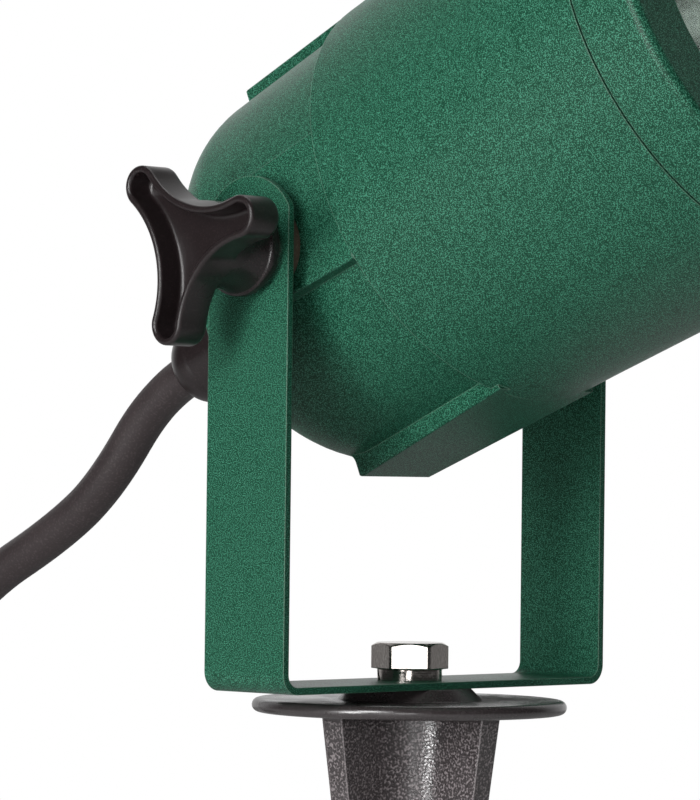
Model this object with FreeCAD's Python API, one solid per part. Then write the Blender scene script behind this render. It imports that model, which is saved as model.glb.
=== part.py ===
"""Garden spike spotlight: a die-cast lamp head in a strap bracket, bolted to a finned ground spike.

Frame: millimetres, +Z up, the head looks towards -Y and tilts about an axis along X. The origin is
the centre of the spike disc's underside, which rests on the soil. Head pieces are drawn in the
head's own frame, with its origin at the tilt pivot, X across, Y up and Z forwards along the lamp,
and are then placed at the rest tilt.
"""
import FreeCAD, Part
import math
import os
from FreeCAD import Placement, Rotation, Vector

# ---- driving dimensions, millimetres and degrees -------------------------------------------------
CLEAR = 0.05                 # running and assembly clearance on a radius
SLIP = 0.3                   # clearance between curved faces of different pieces

# ground spike
DISC_R = 43.8
DISC_T = 3.8
BOSS_R = 17.0
BOSS_H = 3.2
SPIKE_DEPTH = 190.0
FIN_T = 7.0
FIN_TOP_R = 30.8
FIN_TIP_R = 3.4
FIN_TIP_T = 2.4
FLUTE_R = 13.4               # round flutes leave a core between the fins
FLUTE_TIP_R = 1.6
POINT_H = 14.0
POINT_SHARE = 0.25

# bolt, insert and spring washer
BOLT_R = 6.0
BOLT_LENGTH = 25.0
HEX_FLATS = 19.0
HEX_H = 7.5
RING_R = 9.05
RING_H = 3.0
RING_GAP = 1.6
INSERT_R = 8.0
INSERT_H = 18.0
INSERT_FLANGE_R = 9.4
INSERT_FLANGE_H = 1.5

# bracket
LEG_SPACING = 126.0
STRAP_W = 30.0
STRAP_T = 2.0
BEND_R = 5.5
PIVOT_ABOVE_BASE = 119.5
LEG_ABOVE_PIVOT = 19.0
LEG_END_R = 17.5
LEG_CORNER_R = 2.5

# tilt pivot and knobs
STUD_R = 4.0
STUD_IN_PAD = 14.0
KNOB_FACE = 25.6             # leg to the knob's outer face
KNOB_STAR_T = 11.0
KNOB_ARM_REACH = 27.8
KNOB_ARM_TIP_R = 5.6
KNOB_WAIST = 10.4
KNOB_RECESS = 7.5
KNOB_WALL = 2.0
KNOB_HUB_R = 9.0
KNOB_FLANGE_R = 13.5
KNOB_FLANGE_T = 3.0
KNOB_ANGLE = -7.0            # turn of the knobs' arms from the head's upright
KNOB_WASHER_R = 12.0
KNOB_WASHER_T = 1.6
FRICTION_WASHER_R = 12.5

# head, along its own axis from the pivot
REST_TILT = 23.1
AXIS_RISE = 6.0              # the head's axis passes this far above the pivot
REAR_R = 58.5                # body radius where the sleeve begins
REAR_DRAFT = 2.5
DOME_CORNER_R = 24.0
DOME_CORNER_W = -21.7
DOME_CAP_R = 166.0
STEP_W = 28.0
STEP_R = 61.4
SEAM_W = 126.5
SEAM_R = 65.0
WALL = 3.0
PAD_FACE = 59.8              # from the head's axis to the flat of the top and bottom pads
PAD_REAR_W = -30.0
PAD_REAR_HALF = 14.0
PAD_FRONT_HALF = 19.2
PAD_HEEL_R = 4.0             # hollow at the foot of the pads' rear ends
FRICTION_WASHER_T = 5.0      # side pad's face to the leg
SIDE_PAD_REAR_HALF = 17.5
SIDE_PAD_FRONT_HALF = 19.0
SIDE_PAD_DROP = 3.0          # centre of the side pads below the head's axis
PAD_EDGE_R = 0.8
NECK_R = 14.0
NECK_W = -59.0

# front ring, glass and seals
RING_LENGTH = 19.0
RING_LIP_R = 2.5
RING_FRONT_T = 4.0
RING_OPENING_R = 47.0
RING_DISH = 1.2
SPIGOT_WALL = 3.4
SPIGOT_LENGTH = 9.0
SEAM_GAP = 0.6
GLASS_R = 54.0
GLASS_T = 4.0
GASKET_T = 2.0
GASKET_WIDTH = 5.0
ORING_R = 1.3
ORING_BEHIND_GLASS = 4.5     # the round seal's centre, back from the spigot's end

# lamp and holder
LAMP_R = 47.5
LAMP_LENGTH = 116.0
LAMP_RIM = 9.0
LAMP_BOWL = 46.0
LAMP_NECK_R = 19.0
LAMP_SHELL = 2.4
LAMP_BEHIND_GLASS = 3.0
LENS_RISE = 1.2
CAP_R = 13.2
CAP_LENGTH = 27.0
HOLDER_R = 22.0
HOLDER_LENGTH = 54.0
CONTACT_T = 0.5
STRAP_HOLDER_T = 1.5
STRAP_HOLDER_HALF = 31.0
STRAP_HOLDER_W = 16.0
SCREW_R = 2.0
SCREW_HEAD_R = 3.8
SCREW_HEAD_T = 2.4
SCREW_LENGTH = 9.0
POST_R = 5.0
BLOCK_SIZE = (30.0, 16.0, 14.0)
WIRE_R = 1.5
WIRE_PITCH = 10.0

# cord, gland and plug
CORD_R = 6.2
GLAND_END_W = -93.3
GLAND_HEX = 24.0
GLAND_HEX_T = 7.0
GLAND_NUT_R = 12.0
GLAND_END_R = 7.9
GLAND_DOME = 10.0
GLAND_THREAD_R = 10.0
GLAND_MOUTH_R = 6.9
GLAND_NECK_W = -48.0         # inner end of the gland's thread in the neck
GLAND_CAP_THREAD = 9.0       # length of the thread that takes the cap
GLAND_CAP_STEP = 0.6         # by which that thread is smaller than the neck's
GLAND_SEAL_LENGTH = 9.3
GLAND_MOUTH_DEPTH = 7.0      # depth of the cap's flared mouth
CORD_INSIDE_W = -38.0
ARC_SHARE = 0.45             # of the shorter run, taken by the arc at each point of the route
EXIT_RUN = 34.6              # first run of the cord, most of it inside the gland
EXIT_STRAIGHT = 0.5          # straight length outside the gland before the first bend
COIL_PITCH = 13.4
COIL_LIFT = 13.2
COIL_OUTER_R = 78.0
COIL_LAYER_TURNS = 1.5
PLUG_R = 19.2
PLUG_HEAD = 24.0
PLUG_GRIP = 30.0
PLUG_GRIP_R = 9.5
PIN_R = 2.4
PIN_LENGTH = 19.0
PIN_SPACING = 19.0
PIN_ROOT_R = 2.0             # the pins are thinner where they are moulded in
PIN_ROOT = 12.0
CLIP_T = 0.8
CLIP_W = 7.0
CLIP_LENGTH = 17.0

# ---- places worked out from them -----------------------------------------------------------------
BASE_Z = DISC_T + BOSS_H
PIVOT_Z = BASE_Z + PIVOT_ABOVE_BASE
LEG_INNER = LEG_SPACING / 2
LEG_OUTER = LEG_INNER + STRAP_T
SIDE_PAD_FACE = LEG_INNER - FRICTION_WASHER_T
BOLT_HEAD_Z = BASE_Z + STRAP_T + RING_H
FLOOR_Z = -SPIKE_DEPTH
LAID_Z = FLOOR_Z + CORD_R
RING_FRONT_W = SEAM_W + RING_LENGTH
GLASS_FRONT_W = RING_FRONT_W - RING_FRONT_T - GASKET_T
GLASS_REAR_W = GLASS_FRONT_W - GLASS_T
LAMP_FRONT_W = GLASS_REAR_W - LAMP_BEHIND_GLASS
CAP_END_W = LAMP_FRONT_W - LAMP_LENGTH
HOLDER_FRONT_W = CAP_END_W + CAP_LENGTH
HOLDER_REAR_W = HOLDER_FRONT_W - HOLDER_LENGTH

HEAD = Placement(Vector(0, 0, PIVOT_Z), Rotation(Vector(1, 0, 0), 90 - REST_TILT))
HEAD_AXIS = Vector(0, AXIS_RISE, 0)
X_AXIS = Vector(1, 0, 0)
Y_AXIS = Vector(0, 1, 0)
Z_AXIS = Vector(0, 0, 1)

# The cord's route behind the lamp, from inside the gland down to the floor and beside the coil.
GLAND_END = HEAD.multVec(Vector(0, AXIS_RISE, GLAND_END_W))
CORD_BACK = HEAD.Rotation.multVec(Vector(0, 0, -1))
LEAD_POINTS = [(0, 124.7, 62.0), (0, 146.0, 47.5), (0, 182.0, 30.3), (-5.0, 207.7, -0.3),
               (-14.0, 224.8, -47.3), (-27.0, 238.1, -100.7), (-44.0, 270.1, -141.7)]
RUN_POINTS = [(-64.0, 316.9, -168.7), (-COIL_OUTER_R, 373.2, LAID_Z)]
COIL_START_Y = 425.0
TAIL_POINTS = [(COIL_OUTER_R, 404.0), (COIL_OUTER_R - 5.0, 378.0)]
TAIL_END_Y = 355.0


# ---- helpers -------------------------------------------------------------------------------------
def rod(radius, length, start=Vector(), axis=Z_AXIS):
    """A cylinder from start along axis."""
    return Part.makeCylinder(radius, length, start, axis)


def sleeve(outer, inner, length, start=Vector(), axis=Z_AXIS):
    """A tube: a rod with a bore right through it."""
    return rod(outer, length, start, axis).cut(rod(inner, length, start, axis))


def hexagon(flats, height, start, axis=Z_AXIS):
    """A hexagonal prism, given across its flats."""
    corner = flats / math.sqrt(3)
    points = [Vector(corner * math.cos(math.radians(60 * k)), corner * math.sin(math.radians(60 * k)), 0)
              for k in range(7)]
    prism = Part.Face(Part.makePolygon(points)).extrude(Vector(0, 0, height))
    prism.Placement = Placement(start, Rotation(Z_AXIS, axis))
    return prism


def block(size, centre):
    """A box with its centre at centre."""
    corner = centre - Vector(*size) / 2
    return Part.makeBox(*size, corner)


class Outline:
    """A closed outline of lines and arcs in the XZ plane: x is a radius, z a place on the axis."""

    def __init__(self, x, z):
        self.first = self.last = Vector(x, 0, z)
        self.edges = []

    def line(self, x, z):
        """A straight edge to (x, z)."""
        point = Vector(x, 0, z)
        self.edges.append(Part.LineSegment(self.last, point).toShape())
        self.last = point
        return self

    def arc(self, through, end):
        """An arc through one point to another."""
        point = Vector(end[0], 0, end[1])
        self.edges.append(Part.Arc(self.last, Vector(through[0], 0, through[1]), point).toShape())
        self.last = point
        return self

    def face(self):
        """The face inside the outline."""
        if (self.last - self.first).Length > 1e-7:
            self.line(self.first.x, self.first.z)
        return Part.Face(Part.Wire(self.edges))

    def turned(self, centre=Vector()):
        """The solid made by turning the outline about the Z axis, moved to centre."""
        solid = self.face().revolve(Vector(), Z_AXIS, 360)
        solid.translate(centre)
        return solid


def rounded(shape, radius, chosen):
    """Fillet the edges for which chosen(edge) is true."""
    edges = [edge for edge in shape.Edges if chosen(edge)]
    return shape.makeFillet(radius, edges)


def in_head(shape):
    """Place a piece drawn in the head's frame."""
    placed = shape.copy()
    placed.Placement = HEAD.multiply(placed.Placement)
    return placed


def group(shapes):
    """Separate solids of one node."""
    return Part.makeCompound(shapes)


def save(name, shape):
    """Write one node, after testing its solids."""
    solids = shape.Solids
    if not solids or not all(solid.isValid() and solid.Volume > 0 for solid in solids):
        raise ValueError(name + " is not a valid solid")
    node = solids[0] if len(solids) == 1 else Part.makeCompound(solids)
    node.exportStep("parts/" + name + ".step")
    print("%-22s %2d solid  %10.1f mm3" % (name, len(solids), sum(s.Volume for s in solids)))


# ---- ground spike --------------------------------------------------------------------------------
def fluted_wire(reach, thick, flute_r, z):
    """Outline of four square-ended fins whose sides run into round flutes between them."""
    half = thick / 2
    inner = half + flute_r
    deep = inner - flute_r * math.sqrt(0.5)
    edges = []
    for k in range(4):
        turn = Rotation(Z_AXIS, 90 * k)
        points = [turn.multVec(Vector(x, y, z)) for x, y in
                  ((reach, -half), (reach, half), (inner, half), (deep, deep), (half, inner), (half, reach))]
        edges.append(Part.LineSegment(points[0], points[1]).toShape())
        edges.append(Part.LineSegment(points[1], points[2]).toShape())
        edges.append(Part.Arc(points[2], points[3], points[4]).toShape())
        edges.append(Part.LineSegment(points[4], points[5]).toShape())
    return Part.Wire(edges)


def ground_spike():
    """Disc with a rounded rim, boss and four tapered, fluted fins running to a point."""
    rim = DISC_T / 2
    disc = (Outline(0, 0).line(DISC_R - rim, 0).arc((DISC_R, rim), (DISC_R - rim, DISC_T))
            .line(BOSS_R + BOSS_H, DISC_T).line(BOSS_R, BASE_Z).line(0, BASE_Z).turned())
    top = fluted_wire(FIN_TOP_R, FIN_T, FLUTE_R, 0)
    tip = fluted_wire(FIN_TIP_R, FIN_TIP_T, FLUTE_TIP_R, FLOOR_Z + POINT_H)
    end = fluted_wire(FIN_TIP_R * POINT_SHARE, FIN_TIP_T * POINT_SHARE, FLUTE_TIP_R * POINT_SHARE, FLOOR_Z)
    blades = Part.makeLoft([top, tip], True, True).fuse(Part.makeLoft([tip, end], True, True))
    spike = disc.fuse(blades).removeSplitter()
    seat = rod(INSERT_R, INSERT_H, Vector(0, 0, BASE_Z - INSERT_H))
    flange = rod(INSERT_FLANGE_R, INSERT_FLANGE_H, Vector(0, 0, BASE_Z - INSERT_FLANGE_H))
    shank_end = BOLT_HEAD_Z - BOLT_LENGTH
    relief = rod(BOLT_R + SLIP, BASE_Z - shank_end + STRAP_T, Vector(0, 0, shank_end - STRAP_T))
    return spike.cut(seat.fuse([flange, relief]))


def spike_insert():
    """Flanged brass insert, threaded for the bolt and moulded into the spike."""
    body = rod(INSERT_R, INSERT_H, Vector(0, 0, BASE_Z - INSERT_H))
    flange = rod(INSERT_FLANGE_R, INSERT_FLANGE_H, Vector(0, 0, BASE_Z - INSERT_FLANGE_H))
    return body.fuse(flange).cut(rod(BOLT_R + CLEAR, INSERT_H, Vector(0, 0, BASE_Z - INSERT_H)))


def base_bolt():
    """Hexagon bolt with a chamfered head and shank end."""
    head = hexagon(HEX_FLATS, HEX_H, Vector(0, 0, BOLT_HEAD_Z))
    corner = HEX_FLATS / math.sqrt(3)
    face = HEX_FLATS / 2 - SLIP
    rise = (corner - face) * math.tan(math.radians(30))
    dome = (Outline(0, BOLT_HEAD_Z).line(corner + 1, BOLT_HEAD_Z).line(corner + 1, BOLT_HEAD_Z + HEX_H - rise)
            .line(face, BOLT_HEAD_Z + HEX_H).line(0, BOLT_HEAD_Z + HEX_H).turned())
    shank = rod(BOLT_R, BOLT_LENGTH, Vector(0, 0, BOLT_HEAD_Z - BOLT_LENGTH))
    shank = shank.makeChamfer(1.0, [edge for edge in shank.Edges
                                    if edge.BoundBox.ZMax < BOLT_HEAD_Z - BOLT_LENGTH + CLEAR])
    return head.common(dome).fuse(shank).removeSplitter()


def spring_washer():
    """Split ring of square wire under the bolt's head."""
    ring = sleeve(RING_R, BOLT_R + CLEAR, RING_H, Vector(0, 0, BASE_Z + STRAP_T))
    slot = block((RING_R, RING_GAP, 3 * RING_H), Vector(RING_R / 2 + BOLT_R / 2, 0, BASE_Z + STRAP_T + RING_H / 2))
    slot.rotate(Vector(0, 0, BASE_Z + STRAP_T + RING_H / 2), X_AXIS, 25)
    slot.rotate(Vector(), Z_AXIS, 150)
    return ring.cut(slot)


# ---- bracket -------------------------------------------------------------------------------------
def bracket():
    """Flat strap bent to a U, with rounded leg ends, two pivot holes and the bolt hole."""
    outer = Part.makeBox(2 * LEG_OUTER, STRAP_W, PIVOT_Z + LEG_ABOVE_PIVOT - BASE_Z,
                         Vector(-LEG_OUTER, -STRAP_W / 2, BASE_Z))
    outer = rounded(outer, BEND_R, lambda edge: lengthwise(edge, BASE_Z))
    inner = Part.makeBox(LEG_SPACING, 2 * STRAP_W, PIVOT_Z + LEG_ABOVE_PIVOT,
                         Vector(-LEG_INNER, -STRAP_W, BASE_Z + STRAP_T))
    inner = rounded(inner, BEND_R - STRAP_T, lambda edge: lengthwise(edge, BASE_Z + STRAP_T))
    strap = outer.cut(inner).common(leg_outline())
    for side in (-1, 1):
        start = Vector(side * (LEG_INNER - 1), 0, PIVOT_Z)
        strap = strap.cut(rod(STUD_R + CLEAR, STRAP_T + 2, start, Vector(side, 0, 0)))
    return strap.cut(rod(BOLT_R + CLEAR, 2 * STRAP_T, Vector(0, 0, BASE_Z - STRAP_T / 2)))


def lengthwise(edge, height):
    """Whether an edge runs along Y at a height."""
    box = edge.BoundBox
    return box.YLength > STRAP_W / 2 and abs(box.ZMin - height) < CLEAR and abs(box.ZMax - height) < CLEAR


def leg_outline():
    """The strap's side outline, extruded across both legs: straight sides and a flattened round end."""
    top = PIVOT_Z + LEG_ABOVE_PIVOT
    half = STRAP_W / 2
    drop = LEG_END_R - math.sqrt(LEG_END_R ** 2 - half ** 2)
    shoulder = top - drop
    corners = [Vector(-LEG_OUTER, -half, BASE_Z), Vector(-LEG_OUTER, half, BASE_Z),
               Vector(-LEG_OUTER, half, shoulder), Vector(-LEG_OUTER, -half, shoulder)]
    edges = [Part.LineSegment(corners[0], corners[1]).toShape(),
             Part.LineSegment(corners[1], corners[2]).toShape(),
             Part.Arc(corners[2], Vector(-LEG_OUTER, 0, top), corners[3]).toShape(),
             Part.LineSegment(corners[3], corners[0]).toShape()]
    solid = Part.Face(Part.Wire(edges)).extrude(Vector(2 * LEG_OUTER, 0, 0))
    return rounded(solid, LEG_CORNER_R, lambda edge: edge.BoundBox.XLength > LEG_OUTER
                   and abs(edge.BoundBox.ZMax - shoulder) < CLEAR)


# ---- knobs ---------------------------------------------------------------------------------------
def lobed_wire(reach, tip_r, waist):
    """Three round arm tips joined by hollow flanks, as tangent arcs about the Z axis."""
    arm = reach - tip_r
    flank_r = (arm ** 2 + waist ** 2 - arm * waist - tip_r ** 2) / (arm + 2 * tip_r - 2 * waist)
    flank_d = waist + flank_r
    edges = []
    for k in range(3):
        along = math.radians(120 * k)
        centre = Vector(arm * math.cos(along), arm * math.sin(along), 0)
        meets = []
        for turn in (-60, 60):
            angle = along + math.radians(turn)
            flank = Vector(flank_d * math.cos(angle), flank_d * math.sin(angle), 0)
            meets.append(centre + (flank - centre).normalize() * tip_r)
        tip = Vector(reach * math.cos(along), reach * math.sin(along), 0)
        edges.append(Part.Arc(meets[0], tip, meets[1]).toShape())
        middle = along + math.radians(60)
        other = Vector(arm * math.cos(along + math.radians(120)), arm * math.sin(along + math.radians(120)), 0)
        flank = Vector(flank_d * math.cos(middle), flank_d * math.sin(middle), 0)
        end = other + (flank - other).normalize() * tip_r
        waist_point = Vector(waist * math.cos(middle), waist * math.sin(middle), 0)
        edges.append(Part.Arc(meets[1], waist_point, end).toShape())
    return Part.Wire(edges)


def lobed(reach, tip_r, waist, height, start):
    """A three-armed prism."""
    solid = Part.Face(lobed_wire(reach, tip_r, waist)).extrude(Vector(0, 0, height))
    solid.translate(Vector(0, 0, start))
    return solid


def knob_body():
    """Three-armed knob, hollow from its outer face, on a waisted hub with a round flange.

    Drawn along +Z from the leg's face, with its washer's thickness left free below it."""
    low = KNOB_WASHER_T
    star_z = KNOB_FACE - KNOB_STAR_T
    star = lobed(KNOB_ARM_REACH, KNOB_ARM_TIP_R, KNOB_WAIST, KNOB_STAR_T, star_z)
    star = rounded(star, KNOB_WALL / 2, lambda edge: edge.BoundBox.ZLength < CLEAR
                   and edge.BoundBox.ZMin > KNOB_FACE - CLEAR)
    star = rounded(star, KNOB_WALL, lambda edge: edge.BoundBox.ZLength < CLEAR
                   and edge.BoundBox.ZMax < star_z + CLEAR)
    hollow = lobed(KNOB_ARM_REACH - KNOB_WALL, KNOB_ARM_TIP_R - KNOB_WALL, KNOB_WAIST - KNOB_WALL,
                   KNOB_RECESS + 1, KNOB_FACE - KNOB_RECESS)
    hub = (Outline(0, low).line(KNOB_FLANGE_R, low).line(KNOB_FLANGE_R, low + KNOB_FLANGE_T)
           .arc((KNOB_HUB_R + 1.4, (low + KNOB_FLANGE_T + star_z) / 2), (KNOB_HUB_R + 1.2, star_z + 1))
           .line(0, star_z + 1).turned())
    body = star.cut(hollow).fuse(hub).removeSplitter()
    socket = rod(STUD_R + CLEAR, star_z + 1 - low, Vector(0, 0, low))
    return body.cut(socket)


def stud_body():
    """Steel stud moulded into the knob's hub, reaching through the leg into the head's pad."""
    inward = STRAP_T + FRICTION_WASHER_T + STUD_IN_PAD
    top = KNOB_FACE - KNOB_STAR_T
    stud = rod(STUD_R, inward + top, Vector(0, 0, -inward))
    return stud.makeChamfer(0.8, [edge for edge in stud.Edges if edge.BoundBox.ZMax < CLEAR - inward])


def at_leg(shape, side, turn=0.0):
    """Place a piece drawn along +Z from the leg's outer face, in the head's frame."""
    placed = shape.copy()
    placed.rotate(Vector(), Z_AXIS, turn)
    placed.rotate(Vector(), Y_AXIS, 90 * side)
    placed.translate(Vector(side * LEG_OUTER, 0, 0))
    return placed


# ---- head castings -------------------------------------------------------------------------------
def rear_radius(w):
    """Outer radius of the rear body, which has the casting's draft."""
    return REAR_R - (STEP_W - w) * math.tan(math.radians(REAR_DRAFT))


def sleeve_radius(w):
    """Outer radius of the front sleeve between the step and the seam."""
    return STEP_R + (SEAM_R - STEP_R) * (w - STEP_W) / (SEAM_W - STEP_W)


def dome_centres():
    """Radius at which the dome's round corner is centred, and place of its cap's centre on the axis."""
    corner_x = rear_radius(DOME_CORNER_W) - DOME_CORNER_R / math.cos(math.radians(REAR_DRAFT))
    return corner_x, DOME_CORNER_W + math.sqrt((DOME_CAP_R - DOME_CORNER_R) ** 2 - corner_x ** 2)


def shell_outline(inset):
    """Rear dome and rear body inset by a wall: the outline from the axis up to the step."""
    draft = math.radians(REAR_DRAFT)
    corner_r = DOME_CORNER_R - inset
    corner_x, cap_w = dome_centres()
    cap_r = DOME_CAP_R - inset
    lean = math.atan2(corner_x, cap_w - DOME_CORNER_W)
    meet = (corner_x + corner_r * math.sin(lean), DOME_CORNER_W - corner_r * math.cos(lean))
    half = (lean + math.pi / 2 - draft) / 2
    middle = (corner_x + corner_r * math.sin(half), DOME_CORNER_W - corner_r * math.cos(half))
    start = (corner_x + corner_r * math.cos(draft), DOME_CORNER_W - corner_r * math.sin(draft))
    cap_middle = (cap_r * math.sin(lean / 2), cap_w - cap_r * math.cos(lean / 2))
    outline = Outline(0, cap_w - cap_r)
    outline.arc(cap_middle, meet)
    outline.arc(middle, start)
    return outline


def pad(half_rear, half_front, face, end):
    """One flat-faced pad, widening forwards to its end at the step, on the upper side of the head."""
    root = REAR_R * 0.7
    corners = [Vector(-half_rear, root, PAD_REAR_W), Vector(half_rear, root, PAD_REAR_W),
               Vector(half_front, root, end), Vector(-half_front, root, end)]
    wedge = Part.Face(Part.makePolygon(corners + corners[:1])).extrude(Vector(0, face - root, 0))
    return rounded(wedge, PAD_EDGE_R, lambda edge: edge.BoundBox.YMin > face - CLEAR
                   and edge.BoundBox.ZMin < end - CLEAR)


def pad_heel(edge):
    """Whether an edge lies where a pad's rear end meets the dome."""
    box = edge.BoundBox
    return abs(box.ZMin - PAD_REAR_W) < CLEAR and abs(box.ZMax - PAD_REAR_W) < CLEAR and box.XLength > PAD_REAR_HALF


def side_pad(side):
    """A pad on the left or right of the head, and the room cut above its face."""
    raised = pad(SIDE_PAD_REAR_HALF, SIDE_PAD_FRONT_HALF, SIDE_PAD_FACE, STEP_W)
    corners = [Vector(-SIDE_PAD_REAR_HALF, SIDE_PAD_FACE, PAD_REAR_W), Vector(SIDE_PAD_REAR_HALF, SIDE_PAD_FACE, PAD_REAR_W),
               Vector(SIDE_PAD_FRONT_HALF, SIDE_PAD_FACE, STEP_W), Vector(-SIDE_PAD_FRONT_HALF, SIDE_PAD_FACE, STEP_W)]
    room = Part.Face(Part.makePolygon(corners + corners[:1])).extrude(Vector(0, STEP_R - SIDE_PAD_FACE, 0))
    for shape in (raised, room):
        shape.rotate(Vector(), Z_AXIS, -90 * side)
        shape.translate(Vector(0, -SIDE_PAD_DROP, 0))
    return raised, room


def housing():
    """One casting: domed rear with four pads, cable neck, stepped front sleeve and ring spigot."""
    body = (shell_outline(0).line(REAR_R, STEP_W).line(STEP_R, STEP_W).line(SEAM_R, SEAM_W)
            .line(SEAM_R - SPIGOT_WALL, SEAM_W).line(SEAM_R - SPIGOT_WALL, SEAM_W + SPIGOT_LENGTH)
            .line(0, SEAM_W + SPIGOT_LENGTH).turned())
    for turn in (0, 180):
        raised = pad(PAD_REAR_HALF, PAD_FRONT_HALF, PAD_FACE, STEP_W + WALL)
        raised.rotate(Vector(), Z_AXIS, turn)
        body = body.fuse(raised)
    body = rounded(body, PAD_HEEL_R, pad_heel)
    for side in (-1, 1):
        raised, room = side_pad(side)
        body = body.cut(room).fuse(raised)
    body = body.fuse(rod(NECK_R, -NECK_W + PAD_REAR_W, Vector(0, 0, NECK_W)))
    spigot_in = SEAM_R - SPIGOT_WALL - 2 * ORING_R - WALL
    cavity = (shell_outline(WALL).line(REAR_R - WALL, STEP_W + WALL).line(STEP_R - WALL, STEP_W + WALL)
              .line(spigot_in, SEAM_W - WALL).line(spigot_in, GLASS_REAR_W - WALL)
              .line(GLASS_R - WALL, GLASS_REAR_W - WALL).line(GLASS_R - WALL, SEAM_W + SPIGOT_LENGTH + 1)
              .line(0, SEAM_W + SPIGOT_LENGTH + 1).turned())
    body = body.removeSplitter().cut(cavity)
    body = body.cut(rod(GLAND_THREAD_R + CLEAR, -NECK_W + PAD_REAR_W, Vector(0, 0, NECK_W - 1)))
    body = body.cut(sleeve(SEAM_R, seal_radius() - ORING_R - CLEAR, 2 * (ORING_R + CLEAR),
                           Vector(0, 0, seal_place() - ORING_R - CLEAR)))
    body.translate(HEAD_AXIS)
    for side in (-1, 1):
        face = Vector(side * SIDE_PAD_FACE, 0, 0)
        boss = rod(STUD_R * 2.2, STUD_IN_PAD + WALL, Vector(side * (SIDE_PAD_FACE - 1), 0, 0), Vector(-side, 0, 0))
        body = body.fuse(boss).cut(rod(STUD_R + CLEAR, STUD_IN_PAD + 1, face + Vector(side, 0, 0),
                                       Vector(-side, 0, 0)))
    for x in (-1, 1):
        foot = dome_centres()[1] - math.sqrt(DOME_CAP_R ** 2 - post_x() ** 2) + WALL / 2
        post = rod(POST_R, holder_seat() - foot, Vector(x * post_x(), AXIS_RISE, foot))
        body = body.fuse(post).cut(rod(SCREW_R + CLEAR, SCREW_LENGTH,
                                       Vector(x * post_x(), AXIS_RISE, holder_seat() - SCREW_LENGTH)))
    return body.removeSplitter()


def holder_seat():
    """Place along the head of the posts' faces, which carry the holder's strap."""
    return HOLDER_REAR_W - STRAP_HOLDER_T


def post_x():
    """Distance of each post from the head's axis."""
    return STRAP_HOLDER_HALF - POST_R


def front_ring():
    """Screwed front ring: skirt over the spigot, rounded lip and a broad, slightly dished face."""
    lip = RING_LIP_R
    seam = SEAM_W + SEAM_GAP
    inner = SEAM_R - SPIGOT_WALL + CLEAR
    corner = 1 - math.sqrt(0.5)
    front_r = SEAM_R + 0.6
    outline = (Outline(inner, seam).line(SEAM_R, seam).line(front_r, RING_FRONT_W - lip)
               .arc((front_r - lip * corner, RING_FRONT_W - lip * corner), (front_r - lip, RING_FRONT_W))
               .line(RING_OPENING_R, RING_FRONT_W - RING_DISH)
               .line(RING_OPENING_R, RING_FRONT_W - RING_FRONT_T).line(inner, RING_FRONT_W - RING_FRONT_T))
    return outline.turned(HEAD_AXIS)


def front_glass():
    """Toughened front glass with a ground edge."""
    glass = rod(GLASS_R, GLASS_T, HEAD_AXIS + Vector(0, 0, GLASS_REAR_W))
    return glass.makeChamfer(0.5, [edge for edge in glass.Edges if edge.Closed and edge.BoundBox.ZLength < CLEAR])


def glass_gasket():
    """Flat silicone gasket between the glass and the ring."""
    return sleeve(GLASS_R, GLASS_R - GASKET_WIDTH, GASKET_T, HEAD_AXIS + Vector(0, 0, GLASS_FRONT_W))


def seal_radius():
    """Radius of the round seal's centre line, in its groove round the spigot."""
    return SEAM_R - SPIGOT_WALL - ORING_R


def seal_place():
    """Place of the round seal along the head."""
    return SEAM_W + SPIGOT_LENGTH - ORING_BEHIND_GLASS


def ring_seal():
    """Round seal in the spigot's groove, inside the front ring's skirt."""
    return Part.makeTorus(seal_radius(), ORING_R, HEAD_AXIS + Vector(0, 0, seal_place()), Z_AXIS)


# ---- lamp and holder -----------------------------------------------------------------------------
def lamp_reflector():
    """Pressed reflector bulb: straight rim, bowl and neck, open towards its lens."""
    rim_w = LAMP_FRONT_W - LAMP_RIM
    bowl_w = rim_w - LAMP_BOWL
    neck_w = HOLDER_FRONT_W + CLEAR
    middle = ((LAMP_R + LAMP_NECK_R) / 2 + 5, rim_w - LAMP_BOWL * 0.45)
    outer = (Outline(0, neck_w).line(CAP_R, neck_w).line(LAMP_NECK_R, bowl_w).arc(middle, (LAMP_R, rim_w))
             .line(LAMP_R, LAMP_FRONT_W - LAMP_SHELL).line(0, LAMP_FRONT_W - LAMP_SHELL).turned())
    thin = LAMP_SHELL
    inner = (Outline(0, bowl_w).line(LAMP_NECK_R - thin, bowl_w)
             .arc((middle[0] - thin, middle[1]), (LAMP_R - thin, rim_w))
             .line(LAMP_R - thin, LAMP_FRONT_W + 1).line(0, LAMP_FRONT_W + 1).turned())
    bulb = outer.cut(inner)
    bulb.translate(HEAD_AXIS)
    return bulb


def lamp_lens():
    """The lamp's slightly domed lens, sealed onto its bowl."""
    face = LAMP_FRONT_W - LAMP_SHELL
    crown = LAMP_FRONT_W + LENS_RISE
    sphere = (LAMP_R ** 2 + LENS_RISE ** 2) / (2 * LENS_RISE)
    halfway = crown - sphere + math.sqrt(sphere ** 2 - (LAMP_R / 2) ** 2)
    return (Outline(0, face).line(LAMP_R, face).line(LAMP_R, LAMP_FRONT_W)
            .arc((LAMP_R / 2, halfway), (0, crown)).turned(HEAD_AXIS))


def lamp_cap():
    """The lamp's threaded metal cap with its end contact."""
    barrel = rod(CAP_R, CAP_LENGTH - 4, HEAD_AXIS + Vector(0, 0, CAP_END_W + 4))
    end = Part.makeCone(CAP_R * 0.35, CAP_R, 4, HEAD_AXIS + Vector(0, 0, CAP_END_W))
    return barrel.fuse(end)


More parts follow.
